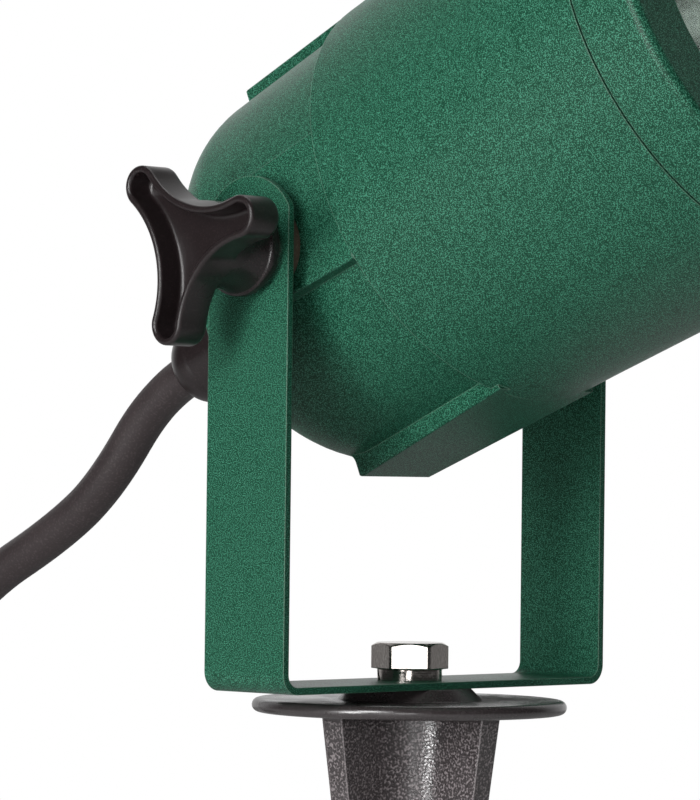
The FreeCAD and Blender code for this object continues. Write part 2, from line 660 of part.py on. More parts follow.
def lampholder():
    """Ceramic lampholder: a cup with a solid base and two fixing lugs."""
    cup = rod(HOLDER_R, HOLDER_LENGTH, HEAD_AXIS + Vector(0, 0, HOLDER_REAR_W))
    bore_r = CAP_R + CONTACT_T + 4 * CLEAR
    bore = rod(bore_r, CAP_LENGTH + 3, HEAD_AXIS + Vector(0, 0, CAP_END_W - 2))
    cup = cup.cut(bore)
    return rounded(cup, 1.5, lambda edge: edge.Closed and edge.BoundBox.ZMin > HOLDER_FRONT_W - CLEAR
                   and edge.BoundBox.XLength > 2 * bore_r + 1)


def holder_shell():
    """Thin threaded contact shell lining the lampholder."""
    inner = CAP_R + CLEAR
    return sleeve(inner + CONTACT_T, inner, CAP_LENGTH - 6, HEAD_AXIS + Vector(0, 0, CAP_END_W + 4))


def holder_contact():
    """Springy centre contact at the bottom of the lampholder."""
    return rod(CAP_R * 0.3, 1.6, HEAD_AXIS + Vector(0, 0, CAP_END_W - 2 + CLEAR))


def holder_strap():
    """Steel strap across the posts that carries the lampholder."""
    size = (2 * STRAP_HOLDER_HALF, STRAP_HOLDER_W, STRAP_HOLDER_T)
    plate = block(size, HEAD_AXIS + Vector(0, 0, HOLDER_REAR_W - STRAP_HOLDER_T / 2))
    plate = rounded(plate, 4, lambda edge: edge.BoundBox.ZLength > STRAP_HOLDER_T - CLEAR)
    for x in (-1, 1):
        hole = Vector(x * post_x(), AXIS_RISE, holder_seat() - 1)
        plate = plate.cut(rod(SCREW_R + CLEAR, STRAP_HOLDER_T + 2, hole))
    return plate


def pan_screw(place):
    """Small screw with a round head, drawn pointing towards -Z from place."""
    head = rod(SCREW_HEAD_R, SCREW_HEAD_T, place)
    head = rounded(head, 1.0, lambda edge: edge.Closed and edge.BoundBox.ZMin > place.z + SCREW_HEAD_T - CLEAR)
    return head.fuse(rod(SCREW_R, SCREW_LENGTH - 1, place - Vector(0, 0, SCREW_LENGTH - 1)))


def holder_screws():
    """The two screws that hold the strap on its posts."""
    return group([pan_screw(Vector(x * post_x(), AXIS_RISE, HOLDER_REAR_W)) for x in (-1, 1)])


def block_centre():
    """Centre of the terminal block, lying on the housing's wall below the lampholder."""
    wall = rear_radius(HOLDER_REAR_W) - WALL - SLIP
    drop = math.sqrt(wall ** 2 - (BLOCK_SIZE[0] / 2) ** 2) - BLOCK_SIZE[1] / 2
    return Vector(0, AXIS_RISE - drop, HOLDER_REAR_W + BLOCK_SIZE[2] / 2)


def terminal_block():
    """Three-pole terminal block with wire holes and screw holes."""
    body = block(BLOCK_SIZE, block_centre())
    for k in (-1, 0, 1):
        pole = block_centre() + Vector(k * WIRE_PITCH, 0, 0)
        body = body.cut(rod(WIRE_R + CLEAR, BLOCK_SIZE[2] + 2, pole - Vector(0, 0, BLOCK_SIZE[2] / 2 + 1)))
    return body


# ---- gland and cord ------------------------------------------------------------------------------
def gland_body():
    """Gland body: threaded spigot in the neck, hexagon and the thread that takes its cap."""
    hex_end = NECK_W - GLAND_HEX_T
    body = hexagon(GLAND_HEX, GLAND_HEX_T, Vector(0, 0, hex_end))
    body = body.fuse(rod(GLAND_THREAD_R, GLAND_NECK_W - NECK_W, Vector(0, 0, NECK_W)))
    body = body.fuse(rod(GLAND_THREAD_R - GLAND_CAP_STEP, GLAND_CAP_THREAD, Vector(0, 0, hex_end - GLAND_CAP_THREAD)))
    body = body.cut(rod(CORD_R + 3 * CLEAR, GLAND_NECK_W - GLAND_END_W, Vector(0, 0, GLAND_END_W)))
    body.translate(HEAD_AXIS)
    return body


def gland_seal():
    """Rubber seal squeezed between the gland's body and its cap."""
    end = NECK_W - GLAND_HEX_T - GLAND_CAP_THREAD - CLEAR
    return sleeve(GLAND_THREAD_R - 2 * GLAND_CAP_STEP, CORD_R + CLEAR, GLAND_SEAL_LENGTH,
                  HEAD_AXIS + Vector(0, 0, end - GLAND_SEAL_LENGTH))


def gland_nut():
    """Gland cap: a round-shouldered nut with a rolled mouth round the cord."""
    start = NECK_W - GLAND_HEX_T - CLEAR
    inner = GLAND_THREAD_R - GLAND_CAP_STEP + CLEAR
    mouth_w = GLAND_END_W + GLAND_MOUTH_DEPTH
    fall = GLAND_NUT_R - GLAND_END_R
    outline = (Outline(inner, start).line(GLAND_NUT_R, start).line(GLAND_NUT_R, GLAND_END_W + GLAND_DOME)
               .arc((GLAND_END_R + 0.72 * fall, GLAND_END_W + GLAND_DOME * 0.32), (GLAND_END_R, GLAND_END_W + 0.3))
               .line(GLAND_END_R - 0.3, GLAND_END_W).line(GLAND_MOUTH_R, GLAND_END_W)
               .line(CORD_R + 3 * CLEAR, mouth_w).line(inner, mouth_w + 2.0))
    return outline.turned(HEAD_AXIS)


def arc_edge(start, corner, end):
    """The arc tangent to start-corner at start and to corner-end at end, with equal legs."""
    chord = (end - start).Length
    weight = chord / (2 * (corner - start).Length)
    middle = ((start + end) / 2 + corner * weight) / (1 + weight)
    return Part.Arc(start, middle, end).toShape()


def route_edges(points):
    """Straight runs joined by tangent arcs, from the first point to the last; also the arcs' radii."""
    edges, radii = [], []
    at = points[0]
    for before, corner, after in zip(points, points[1:], points[2:]):
        into, out = (corner - before), (after - corner)
        leg = ARC_SHARE * min(into.Length, out.Length)
        turn = into.getAngle(out)
        start = corner - into / into.Length * leg
        end = corner + out / out.Length * leg
        if (start - at).Length > 1e-6:
            edges.append(Part.LineSegment(at, start).toShape())
        edges.append(arc_edge(start, corner, end))
        radii.append(leg / math.tan(turn / 2))
        at = end
    edges.append(Part.LineSegment(at, points[-1]).toShape())
    return edges, radii


def tube_along(edges, radius=CORD_R):
    """A round tube swept along edges, and the path's length."""
    path = Part.Wire(edges)
    first = edges[0]
    ring = Part.Wire(Part.makeCircle(radius, first.valueAt(first.FirstParameter),
                                     first.tangentAt(first.FirstParameter)))
    tube = path.makePipeShell([ring], True, False)
    return tube, path.Length


def cord_tube(name, edges, radii=()):
    """One stretch of cord, with its radii printed and its volume tested against its length."""
    tube, length = tube_along(edges)
    share = tube.Volume / (math.pi * CORD_R ** 2 * length)
    print("%s: length %.1f, radii %s, volume share %.4f"
          % (name, length, [round(r) for r in radii], share))
    return tube, length


def lead_route():
    """Control points from inside the gland to where the cord lies on the floor."""
    bend = GLAND_END + CORD_BACK * (ARC_SHARE * EXIT_RUN + EXIT_STRAIGHT)
    inside = bend - CORD_BACK * EXIT_RUN
    laid = [Vector(*point) for point in LEAD_POINTS + RUN_POINTS]
    return [inside, bend] + laid + [Vector(-COIL_OUTER_R, COIL_START_Y, LAID_Z)]


def split_edges(edges, point):
    """Cut a path at a point on one of its straight edges."""
    before, after = [], []
    for k, edge in enumerate(edges):
        ends = [vertex.Point for vertex in edge.Vertexes]
        inside = isinstance(edge.Curve, Part.Line) and edge.distToShape(Part.Vertex(point))[0] < 1e-6
        if inside:
            before = edges[:k] + [Part.LineSegment(ends[0], point).toShape()]
            after = [Part.LineSegment(point, ends[1]).toShape()] + edges[k + 1:]
    return before, after


def coil_edges():
    """The coil: a straight end, a spiral in, a climb in a half turn, a spiral out, a straight end."""
    climb = math.pi
    layer = 2 * math.pi * COIL_LAYER_TURNS
    total = 2 * layer + climb
    inner_r = COIL_OUTER_R - COIL_PITCH * COIL_LAYER_TURNS
    centre = Vector(0, COIL_START_Y + 2 * CORD_R, LAID_Z)

    def place(turn):
        """Point of the coil's centre line after a turn in radians."""
        if turn <= layer:
            radius, height = COIL_OUTER_R - COIL_PITCH * turn / (2 * math.pi), 0.0
        elif turn >= layer + climb:
            radius, height = inner_r + COIL_PITCH * (turn - layer - climb) / (2 * math.pi), COIL_LIFT
        else:
            part = (turn - layer) / climb
            radius = inner_r - COIL_PITCH / 4 * math.sin(math.pi * part) ** 2
            height = COIL_LIFT * (1 - math.cos(math.pi * part)) / 2
        return centre + Vector(-radius * math.cos(turn), radius * math.sin(turn), height)

    def heading(turn):
        """Direction of travel, worked out on both sides of a turn; the ends run square."""
        if turn <= 0:
            return Vector(0, 1, 0)
        if turn >= total:
            return Vector(0, math.cos(total), 0).normalize()
        step = 1e-4
        return (place(turn + step) - place(turn - step)).normalize()

    count = round(total / (math.pi / 2))
    turns = [k * total / count for k in range(count + 1)]
    edges = [Part.LineSegment(place(0) - Vector(0, 2 * CORD_R, 0), place(0)).toShape()]
    for one, two in zip(turns, turns[1:]):
        edges += biarc(place(one), heading(one), place(two), heading(two))
    edges.append(Part.LineSegment(place(total), place(total) + heading(total) * 2 * CORD_R).toShape())
    return edges


def biarc(start, first, end, last):
    """Two arcs that leave start along first and reach end along last."""
    across = end - start
    both = first + last
    spread = 2 * (1 - first.dot(last))
    along = across.dot(both)
    leg = (-along + math.sqrt(along ** 2 + spread * across.dot(across))) / spread
    corner_a = start + first * leg
    corner_b = end - last * leg
    meet = (corner_a + corner_b) / 2
    return [arc_edge(start, corner_a, meet), arc_edge(meet, corner_b, end)]


def least_gap(edges):
    """Least distance between the coil's own turns, less its thickness, measured on points."""
    path = Part.Wire(edges)
    count = 900
    points = path.discretize(count)
    step = path.Length / (count - 1)
    skip = int(3.5 * 2 * CORD_R / step)
    least = 1e9
    for i, one in enumerate(points):
        for two in points[i + skip:]:
            least = min(least, one.distanceToPoint(two))
    return least - 2 * CORD_R


# ---- plug ----------------------------------------------------------------------------------------
def plug_body():
    """Moulded rubber plug: ribbed grip that narrows to the cord and a round head, drawn along +Z."""
    ribs = 5
    outline = Outline(CORD_R + CLEAR, 0).line(PLUG_GRIP_R, 0)
    step = PLUG_GRIP * 0.6 / ribs
    for k in range(ribs):
        outline.line(PLUG_GRIP_R, (k + 0.55) * step).line(PLUG_GRIP_R - 1.2, (k + 0.7) * step)
        outline.line(PLUG_GRIP_R - 1.2, (k + 0.9) * step).line(PLUG_GRIP_R, (k + 1) * step)
    outline.line(PLUG_R - 2, PLUG_GRIP - 2).line(PLUG_R, PLUG_GRIP).line(PLUG_R, PLUG_GRIP + PLUG_HEAD - 1)
    outline.line(PLUG_R - 1, PLUG_GRIP + PLUG_HEAD).line(0, PLUG_GRIP + PLUG_HEAD)
    outline.line(0, PLUG_GRIP).line(CORD_R + CLEAR, PLUG_GRIP)
    body = outline.turned()
    for side in (-1, 1):
        slot = block((CLIP_W + 2 * CLEAR, 2 * (CLIP_T + 2 * CLEAR), CLIP_LENGTH + 2 * CLEAR),
                     Vector(0, side * PLUG_R, PLUG_GRIP + PLUG_HEAD - CLIP_LENGTH / 2))
        body = body.cut(slot)
        body = body.cut(rod(PIN_ROOT_R + CLEAR, 2 * PIN_ROOT,
                            Vector(side * PIN_SPACING / 2, 0, PLUG_GRIP + PLUG_HEAD - PIN_ROOT)))
    return body


def plug_pins():
    """Two round contact pins with rounded ends."""
    pins = []
    face = PLUG_GRIP + PLUG_HEAD
    for side in (-1, 1):
        pin = rod(PIN_R, PIN_LENGTH, Vector(side * PIN_SPACING / 2, 0, face + CLEAR))
        pin = rounded(pin, PIN_R * 0.6, lambda edge: edge.Closed and edge.BoundBox.ZMin > face + 1)
        root = rod(PIN_ROOT_R, PIN_ROOT, Vector(side * PIN_SPACING / 2, 0, face - PIN_ROOT + CLEAR))
        pins.append(pin.fuse(root))
    return group(pins)


def plug_clips():
    """The two side earth contacts."""
    face = PLUG_GRIP + PLUG_HEAD
    return group([block((CLIP_W, CLIP_T, CLIP_LENGTH - CLEAR),
                        Vector(0, side * (PLUG_R - CLIP_T / 2 - CLEAR), face - CLIP_LENGTH / 2 - CLEAR / 2))
                  for side in (-1, 1)])


def at_tail(shape, tail_x, tail_z):
    """Place a piece of the plug, drawn along +Z from the cord's end, to point towards -Y."""
    placed = shape.copy()
    placed.Placement = Placement(Vector(tail_x, TAIL_END_Y, tail_z), Rotation(X_AXIS, 90))
    return placed


# ---- the whole part ------------------------------------------------------------------------------
def build_base():
    """Spike, bolt and bracket."""
    save("ground_spike", ground_spike())
    save("spike_insert", spike_insert())
    save("base_bolt", base_bolt())
    save("spring_washer", spring_washer())
    save("bracket", bracket())


def build_knobs():
    """Both knobs with their studs and washers."""
    knob = knob_body()
    stud = stud_body()
    washer = sleeve(KNOB_WASHER_R, STUD_R + CLEAR, KNOB_WASHER_T)
    for side, name, turn in ((-1, "left", KNOB_ANGLE), (1, "right", KNOB_ANGLE)):
        save("knob_" + name, in_head(at_leg(knob, side, turn)))
        save("knob_stud_" + name, in_head(at_leg(stud, side)))
        save("knob_washer_" + name, in_head(at_leg(washer, side)))
        start = Vector(side * SIDE_PAD_FACE, 0, 0)
        pad_washer = sleeve(FRICTION_WASHER_R, STUD_R + CLEAR, FRICTION_WASHER_T - CLEAR, start, Vector(side, 0, 0))
        save("friction_washer_" + name, in_head(pad_washer))


def build_head():
    """Castings, glass, lamp, holder and terminal block."""
    pieces = {"housing": housing, "front_ring": front_ring, "front_glass": front_glass,
              "glass_gasket": glass_gasket, "ring_seal": ring_seal, "lamp_reflector": lamp_reflector, "lamp_lens": lamp_lens,
              "lamp_cap": lamp_cap, "lampholder": lampholder, "holder_shell": holder_shell,
              "holder_contact": holder_contact, "holder_strap": holder_strap,
              "holder_screws": holder_screws, "terminal_block": terminal_block,
              "gland_body": gland_body, "gland_seal": gland_seal, "gland_nut": gland_nut}
    for name, make in pieces.items():
        save(name, in_head(make()))


def build_cord():
    """Cord from the gland to the plug."""
    entry = rod(CORD_R, CORD_INSIDE_W - GLAND_END_W, HEAD_AXIS + Vector(0, 0, GLAND_END_W))
    save("cord_entry", in_head(entry))
    points = lead_route()
    edges, radii = route_edges(points)
    _, from_gland = split_edges(edges, GLAND_END)
    last = len(points) - len(RUN_POINTS) - 2
    middle = (points[last] + points[last + 1]) / 2
    lead, run = split_edges(from_gland, middle)
    lead_tube, lead_length = cord_tube("cord_lead", lead, radii)
    run_tube, run_length = cord_tube("cord_run", run)
    save("cord_lead", lead_tube)
    save("cord_run", run_tube)
    turns = coil_edges()
    coil, coil_length = cord_tube("cord_coil", turns)
    print("coil: least gap to itself %.2f" % least_gap(turns))
    save("cord_coil", coil)
    leave = turns[-1].Vertexes[1].Point
    tail_points = ([leave] + [Vector(x, y, leave.z) for x, y in TAIL_POINTS]
                   + [Vector(TAIL_POINTS[-1][0], TAIL_END_Y, leave.z)])
    tail_edges, tail_radii = route_edges(tail_points)
    tail, tail_length = cord_tube("cord_tail", tail_edges, tail_radii)
    save("cord_tail", tail)
    end = tail_points[-1]
    save("plug_body", at_tail(plug_body(), end.x, end.z))
    save("plug_pins", at_tail(plug_pins(), end.x, end.z))
    save("plug_clips", at_tail(plug_clips(), end.x, end.z))
    whole = lead_length + run_length + coil_length + tail_length
    print("cord length outside the gland %.0f" % whole)


os.makedirs("parts", exist_ok=True)
build_base()
build_knobs()
build_head()
build_cord()
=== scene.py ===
"""Garden spike spotlight, dressed: enamelled castings, moulded knobs and spike, bolt, lamp and cord.

Metres, +Z up, the lamp looks towards -Y. The origin is the underside of the spike's disc, and the
floor lies at the tip of the spike. The solids come from the frame. The knobs and the bolt are closed
skins made of rings and worked out as whole arrays, and the cord is one spline.
"""
from __future__ import annotations

import logging
import math
from collections.abc import Iterator
from dataclasses import dataclass, field
from enum import Enum

import bpy
import numpy as np
from mathutils import Matrix, Vector

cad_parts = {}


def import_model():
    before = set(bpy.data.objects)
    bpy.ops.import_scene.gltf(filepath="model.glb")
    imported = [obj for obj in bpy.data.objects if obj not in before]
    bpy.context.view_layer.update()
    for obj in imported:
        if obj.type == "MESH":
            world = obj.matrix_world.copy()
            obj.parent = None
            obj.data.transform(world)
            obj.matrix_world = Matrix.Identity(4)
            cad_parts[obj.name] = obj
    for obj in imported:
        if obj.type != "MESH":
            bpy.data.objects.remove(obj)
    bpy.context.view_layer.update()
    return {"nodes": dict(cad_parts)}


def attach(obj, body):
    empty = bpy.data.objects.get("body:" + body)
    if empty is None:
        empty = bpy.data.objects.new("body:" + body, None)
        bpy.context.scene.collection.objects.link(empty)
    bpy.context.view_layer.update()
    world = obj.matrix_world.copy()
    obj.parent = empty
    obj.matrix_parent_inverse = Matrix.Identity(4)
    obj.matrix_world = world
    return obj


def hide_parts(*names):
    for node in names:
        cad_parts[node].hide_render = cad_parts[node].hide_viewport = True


LOG = logging.getLogger("spotlight")
MM = 0.001
# The height of the tilt axis in millimetres, and how far the lamp looks up, in degrees.
PIVOT = 126.5
HEAD_RISE = 23.1

Colour = tuple[float, float, float, float]
Place = tuple[float, float, float]
Rings = Iterator[tuple[np.ndarray, float]]


class Slot(Enum):
    """The record's material slots."""

    ENAMEL = "green_enamel"
    NYLON = "black_nylon"
    ZINC = "zinc_steel"
    BRASS = "brass"
    NICKEL = "plated_brass"
    RUBBER = "rubber"
    SILICONE = "silicone"
    GLASS = "glass"
    MIRROR = "lamp_metal"
    CERAMIC = "ceramic"
    FIBRE = "fibre"
    CORD = "black_rubber_cord"


def linear(red: float, green: float, blue: float) -> Colour:
    """Linear colour of display values from 0 to 255.

    Args:
        red, green, blue: display values.

    Returns:
        The colour with full alpha.
    """
    def one(value: float) -> float:
        """Undo the display curve for one channel."""
        share = value / 255
        return share / 12.92 if share <= 0.04045 else ((share + 0.055) / 1.055) ** 2.4
    return (one(red), one(green), one(blue), 1.0)


def new_object(name: str, data: bpy.types.ID) -> bpy.types.Object:
    """Make an object and put it in the scene.

    Args:
        name: the object's name.
        data: its mesh, curve, camera or lamp.

    Returns:
        The object.
    """
    made = bpy.data.objects.new(name, data)
    bpy.context.scene.collection.objects.link(made)
    return made


# ---- shader building -----------------------------------------------------------------------------
class Tree:
    """A thin hand for placing and joining shader nodes."""

    def __init__(self, tree: bpy.types.NodeTree) -> None:
        """Keep the node tree."""
        self.tree = tree

    def node(self, kind: str, **values: object) -> bpy.types.Node:
        """Place a node.

        Args:
            kind: the node's type name without its prefix.
            values: properties of the node, or inputs named by their label with _ for a space.

        Returns:
            The node.
        """
        made = self.tree.nodes.new("ShaderNode" + kind)
        for name, value in values.items():
            if hasattr(made, name):
                setattr(made, name, value)
            else:
                self.join(value, made.inputs[name.replace("_", " ")])
        return made

    def join(self, source: object, target: bpy.types.NodeSocket) -> None:
        """Link a socket to an input, or set the input's value.

        Args:
            source: a socket or a plain value.
            target: the input.
        """
        if isinstance(source, bpy.types.NodeSocket):
            self.tree.links.new(source, target)
        else:
            target.default_value = source

    def math(self, operation: str, *values: object) -> bpy.types.NodeSocket:
        """Join values by one arithmetic operation.

        Args:
            operation: the operation's name.
            values: sockets or numbers, in the operation's order.

        Returns:
            The result.
        """
        made = self.node("Math", operation=operation)
        for socket, value in zip(made.inputs, values):
            self.join(value, socket)
        return made.outputs[0]

    def dot(self, first: object, second: object) -> bpy.types.NodeSocket:
        """The dot product of two vectors.

        Args:
            first, second: sockets or plain vectors.

        Returns:
            The product.
        """
        made = self.node("VectorMath", operation="DOT_PRODUCT")
        self.join(first, made.inputs[0])
        self.join(second, made.inputs[1])
        return made.outputs["Value"]

    def mix(self, share: object, first: object, second: object) -> bpy.types.NodeSocket:
        """Mix two colours.

        Args:
            share: how much of the second, from 0 to 1.
            first, second: the colours.

        Returns:
            The mixed colour.
        """
        made = self.node("Mix", data_type="RGBA")
        # The colours' sockets of this node: inputs 6 and 7 and output 2.
        for place, value in ((0, share), (6, first), (7, second)):
            self.join(value, made.inputs[place])
        return made.outputs[2]

    def ramp(self, value: object, low: float, high: float,
             new_low: float = 0.0, new_high: float = 1.0) -> bpy.types.NodeSocket:
        """Map a value from one range to another along a smooth step, held at the ends.

        Args:
            value: the value.
            low, high: the range it comes from.
            new_low, new_high: the range it goes to.

        Returns:
            The new value.
        """
        made = self.node("MapRange", interpolation_type="SMOOTHSTEP")
        for socket, item in zip(made.inputs, (value, low, high, new_low, new_high)):
            self.join(item, socket)
        return made.outputs[0]


def new_material(name: str) -> tuple[bpy.types.Material, Tree]:
    """Start a material without nodes.

    Args:
        name: the material's name.

    Returns:
        The material and its Tree.
    """
    made = bpy.data.materials.new(name)
    made.use_nodes = True
    made.node_tree.nodes.clear()
    return made, Tree(made.node_tree)


def new_group(name: str, inputs: dict[str, object],
              outputs: dict[str, str]) -> tuple[bpy.types.NodeTree, Tree, dict, dict]:
    """Start a shader node group.

    Args:
        name: the group's name.
        inputs: input names with a default number, or None for a vector.
        outputs: output names with their socket type.

    Returns:
        The group, its Tree, the sockets of its inputs and of its outputs by name.
    """
    group = bpy.data.node_groups.new(name, "ShaderNodeTree")
    for label, value in inputs.items():
        kind = "NodeSocketVector" if value is None else "NodeSocketFloat"
        socket = group.interface.new_socket(label, in_out="INPUT", socket_type=kind)
        if value is not None:
            socket.default_value = value
    for label, kind in outputs.items():
        group.interface.new_socket(label, in_out="OUTPUT", socket_type=kind)
    tree = Tree(group)
    enter = group.nodes.new("NodeGroupInput")
    leave = group.nodes.new("NodeGroupOutput")
    return group, tree, {s.name: s for s in enter.outputs}, {s.name: s for s in leave.inputs}


class Effects:
    """Surface effects shared by the finishes, each one node group.

    The coarser noise in the grain has WIDE_SCALE of its scale and WIDE_SHARE of its height. The cloud
    goes from 0 to 1 over CLOUD_RANGE of its noise. An edge starts where the normals' cosine is
    EDGE_FROM below one, and EDGE_SAMPLES is how finely it is looked for.
    """

    WIDE_SCALE = 0.37
    WIDE_SHARE = 0.1
    CLOUD_RANGE = (0.3, 0.7)
    EDGE_FROM = 0.02
    EDGE_SAMPLES = 6

    def __init__(self) -> None:
        """Make every group once."""
        self.grain = self.make_grain()
        self.cloud = self.make_cloud()
        self.edge_highlight = self.make_edge_highlight()
        self.scratch = self.make_scratch()

    @classmethod
    def make_grain(cls) -> bpy.types.NodeTree:
        """Fine even grains: noise of one scale stretched to bright crests, with a trace of a coarser one.

        Returns:
            The group.
        """
        group, tree, get, put = new_group(
            "Grain", {"Vector": None, "Scale": 1500.0, "Crest Low": 0.5, "Crest High": 0.72},
            {"Height": "NodeSocketFloat", "Crest": "NodeSocketFloat"})
        fine = tree.node("TexNoise", Vector=get["Vector"], Scale=get["Scale"], Detail=0.6, Roughness=0.5)
        wide_scale = tree.math("MULTIPLY", get["Scale"], cls.WIDE_SCALE)
        wide = tree.node("TexNoise", Vector=get["Vector"], Scale=wide_scale, Detail=1.0, Roughness=0.5)
        both = tree.math("ADD", tree.math("MULTIPLY", fine.outputs[0], 1 - cls.WIDE_SHARE),
                         tree.math("MULTIPLY", wide.outputs[0], cls.WIDE_SHARE))
        tree.join(both, put["Height"])
        tree.join(tree.ramp(both, get["Crest Low"], get["Crest High"]), put["Crest"])
        return group

    @classmethod
    def make_cloud(cls) -> bpy.types.NodeTree:
        """Slow drift from 0 to 1, for tone and gloss that vary over a surface.

        Returns:
            The group.
        """
        group, tree, get, put = new_group("Cloud", {"Vector": None, "Scale": 20.0},
                                          {"Value": "NodeSocketFloat"})
        noise = tree.node("TexNoise", Vector=get["Vector"], Scale=get["Scale"], Detail=4.0, Roughness=0.6)
        tree.join(tree.ramp(noise.outputs[0], *cls.CLOUD_RANGE), put["Value"])
        return group

    @classmethod
    def make_edge_highlight(cls) -> bpy.types.NodeTree:
        """Edges: where the normal rounded by a small radius leaves the true one, for a painted highlight, and
        that normal.

        Returns:
            The group.
        """
        group, tree, get, put = new_group("Edge Highlight", {"Radius": 0.0006, "Spread": 0.25},
                                          {"Edge": "NodeSocketFloat", "Normal": "NodeSocketVector"})
        rounded = tree.node("Bevel", samples=cls.EDGE_SAMPLES, Radius=get["Radius"]).outputs[0]
        true = tree.node("NewGeometry").outputs["Normal"]
        apart = tree.math("SUBTRACT", 1.0, tree.dot(rounded, true))
        tree.join(tree.ramp(apart, cls.EDGE_FROM, get["Spread"]), put["Edge"])
        tree.join(rounded, put["Normal"])
        return group

    @staticmethod
    def make_scratch() -> bpy.types.NodeTree:
        """Fine lines along one axis, from noise that is stretched along it.

        Returns:
            The group.
        """
        group, tree, get, put = new_group("Brushed Lines", {"Vector": None, "Along": 60.0, "Across": 6000.0},
                                          {"Value": "NodeSocketFloat"})
        parts = tree.node("SeparateXYZ", Vector=get["Vector"])
        across = tree.math("ADD", parts.outputs[0], parts.outputs[1])
        joined = tree.node("CombineXYZ", X=tree.math("MULTIPLY", across, get["Along"]),
                           Y=tree.math("MULTIPLY", parts.outputs[2], get["Across"]))
        noise = tree.node("TexNoise", Vector=joined.outputs[0], Scale=1.0, Detail=3.0, Roughness=0.6)
        tree.join(noise.outputs[0], put["Value"])
        return group


@dataclass(frozen=True)
class Finish:
    """One finish: colours, gloss and the relief of its surface, with a painted highlight along its edges.

    The grain fades to calm_share of its strength over calm_band below calm_above, both in metres.
    """

    slot: Slot
    colour: Colour
    # The colour of the grain's crests: grain tone, and on the enamel and the spike a painted glint.
    crest_tone_and_glint: Colour
    roughness: tuple[float, float] = (0.35, 0.5)
    metallic: float = 0.0
    specular: float = 0.5
    coat: float = 0.0
    coat_roughness: float = 0.1
    transmission: float = 0.0
    ior: float = 1.5
    grain: float = 1500.0
    crest_range: tuple[float, float] = (0.5, 0.72)
    crest_tone_and_glint_share: float = 0.5
    relief: float = 0.0001
    relief_strength: float = 0.3
    drift: float = 0.12
    drift_scale: float = 18.0
    # Painted highlight: the edge share of the edge colour, or of the crest colour if there is none, lightens
    # every edge.
    edge_radius: float = 0.0004
    edge_highlight_share: float = 0.25
    edge_highlight_colour: Colour | None = None
    lines: float = 0.0
    calm_above: float | None = None
    calm_band: float = 0.001
    calm_share: float = 0.06

    def material(self, name: str, effects: Effects) -> bpy.types.Material:
        """Build the finish as a material.

        Args:
            name: the material's name.
            effects: the shared node groups.

        Returns:
            The material.
        """
        made, tree = new_material(name)
        place = tree.node("TexCoord").outputs["Object"]
        grain = tree.node("Group", node_tree=effects.grain, Vector=place, Scale=self.grain,
                          Crest_Low=self.crest_range[0], Crest_High=self.crest_range[1])
        cloud = tree.node("Group", node_tree=effects.cloud, Vector=place, Scale=self.drift_scale)
        edge = tree.node("Group", node_tree=effects.edge_highlight, Radius=self.edge_radius)
        dark = tuple(c * (1 - self.drift) for c in self.colour[:3]) + (1.0,)
        base = tree.mix(cloud.outputs[0], dark, self.colour)
        crest_tone_and_glint = tree.math("MULTIPLY", grain.outputs["Crest"], self.crest_tone_and_glint_share)
        gloss = tree.ramp(cloud.outputs[0], 0.0, 1.0, *self.roughness)
        height = grain.outputs["Height"]
        if self.lines:
            lines = tree.node("Group", node_tree=effects.scratch, Vector=place)
            height = tree.math("ADD", height, tree.math("MULTIPLY", lines.outputs[0], self.lines))
        if self.calm_above is not None:
            along = tree.node("SeparateXYZ", Vector=place).outputs[2]
            calm = tree.ramp(along, self.calm_above - self.calm_band, self.calm_above, 1.0, self.calm_share)
            height = tree.math("MULTIPLY", height, calm)
            crest_tone_and_glint = tree.math("MULTIPLY", crest_tone_and_glint, calm)
        # The crests take the crest colour: grain tone, and on the enamel and the spike painted glints.
        base = tree.mix(crest_tone_and_glint, base, self.crest_tone_and_glint)
        # Painted highlight: the edges are lightened towards the edge colour.
        base = tree.mix(tree.math("MULTIPLY", edge.outputs["Edge"], self.edge_highlight_share), base,
                        self.edge_highlight_colour or self.crest_tone_and_glint)
        bump = tree.node("Bump", Strength=self.relief_strength, Distance=self.relief, Height=height,
                         Normal=edge.outputs["Normal"])
        shader = tree.node("BsdfPrincipled", Base_Color=base, Roughness=gloss, Metallic=self.metallic,
                           IOR=self.ior, Normal=bump.outputs[0], Specular_IOR_Level=self.specular,
                           Coat_Weight=self.coat, Coat_Roughness=self.coat_roughness,
                           Transmission_Weight=self.transmission)
        out = tree.node("OutputMaterial")
        tree.join(shader.outputs[0], out.inputs[0])
        return made


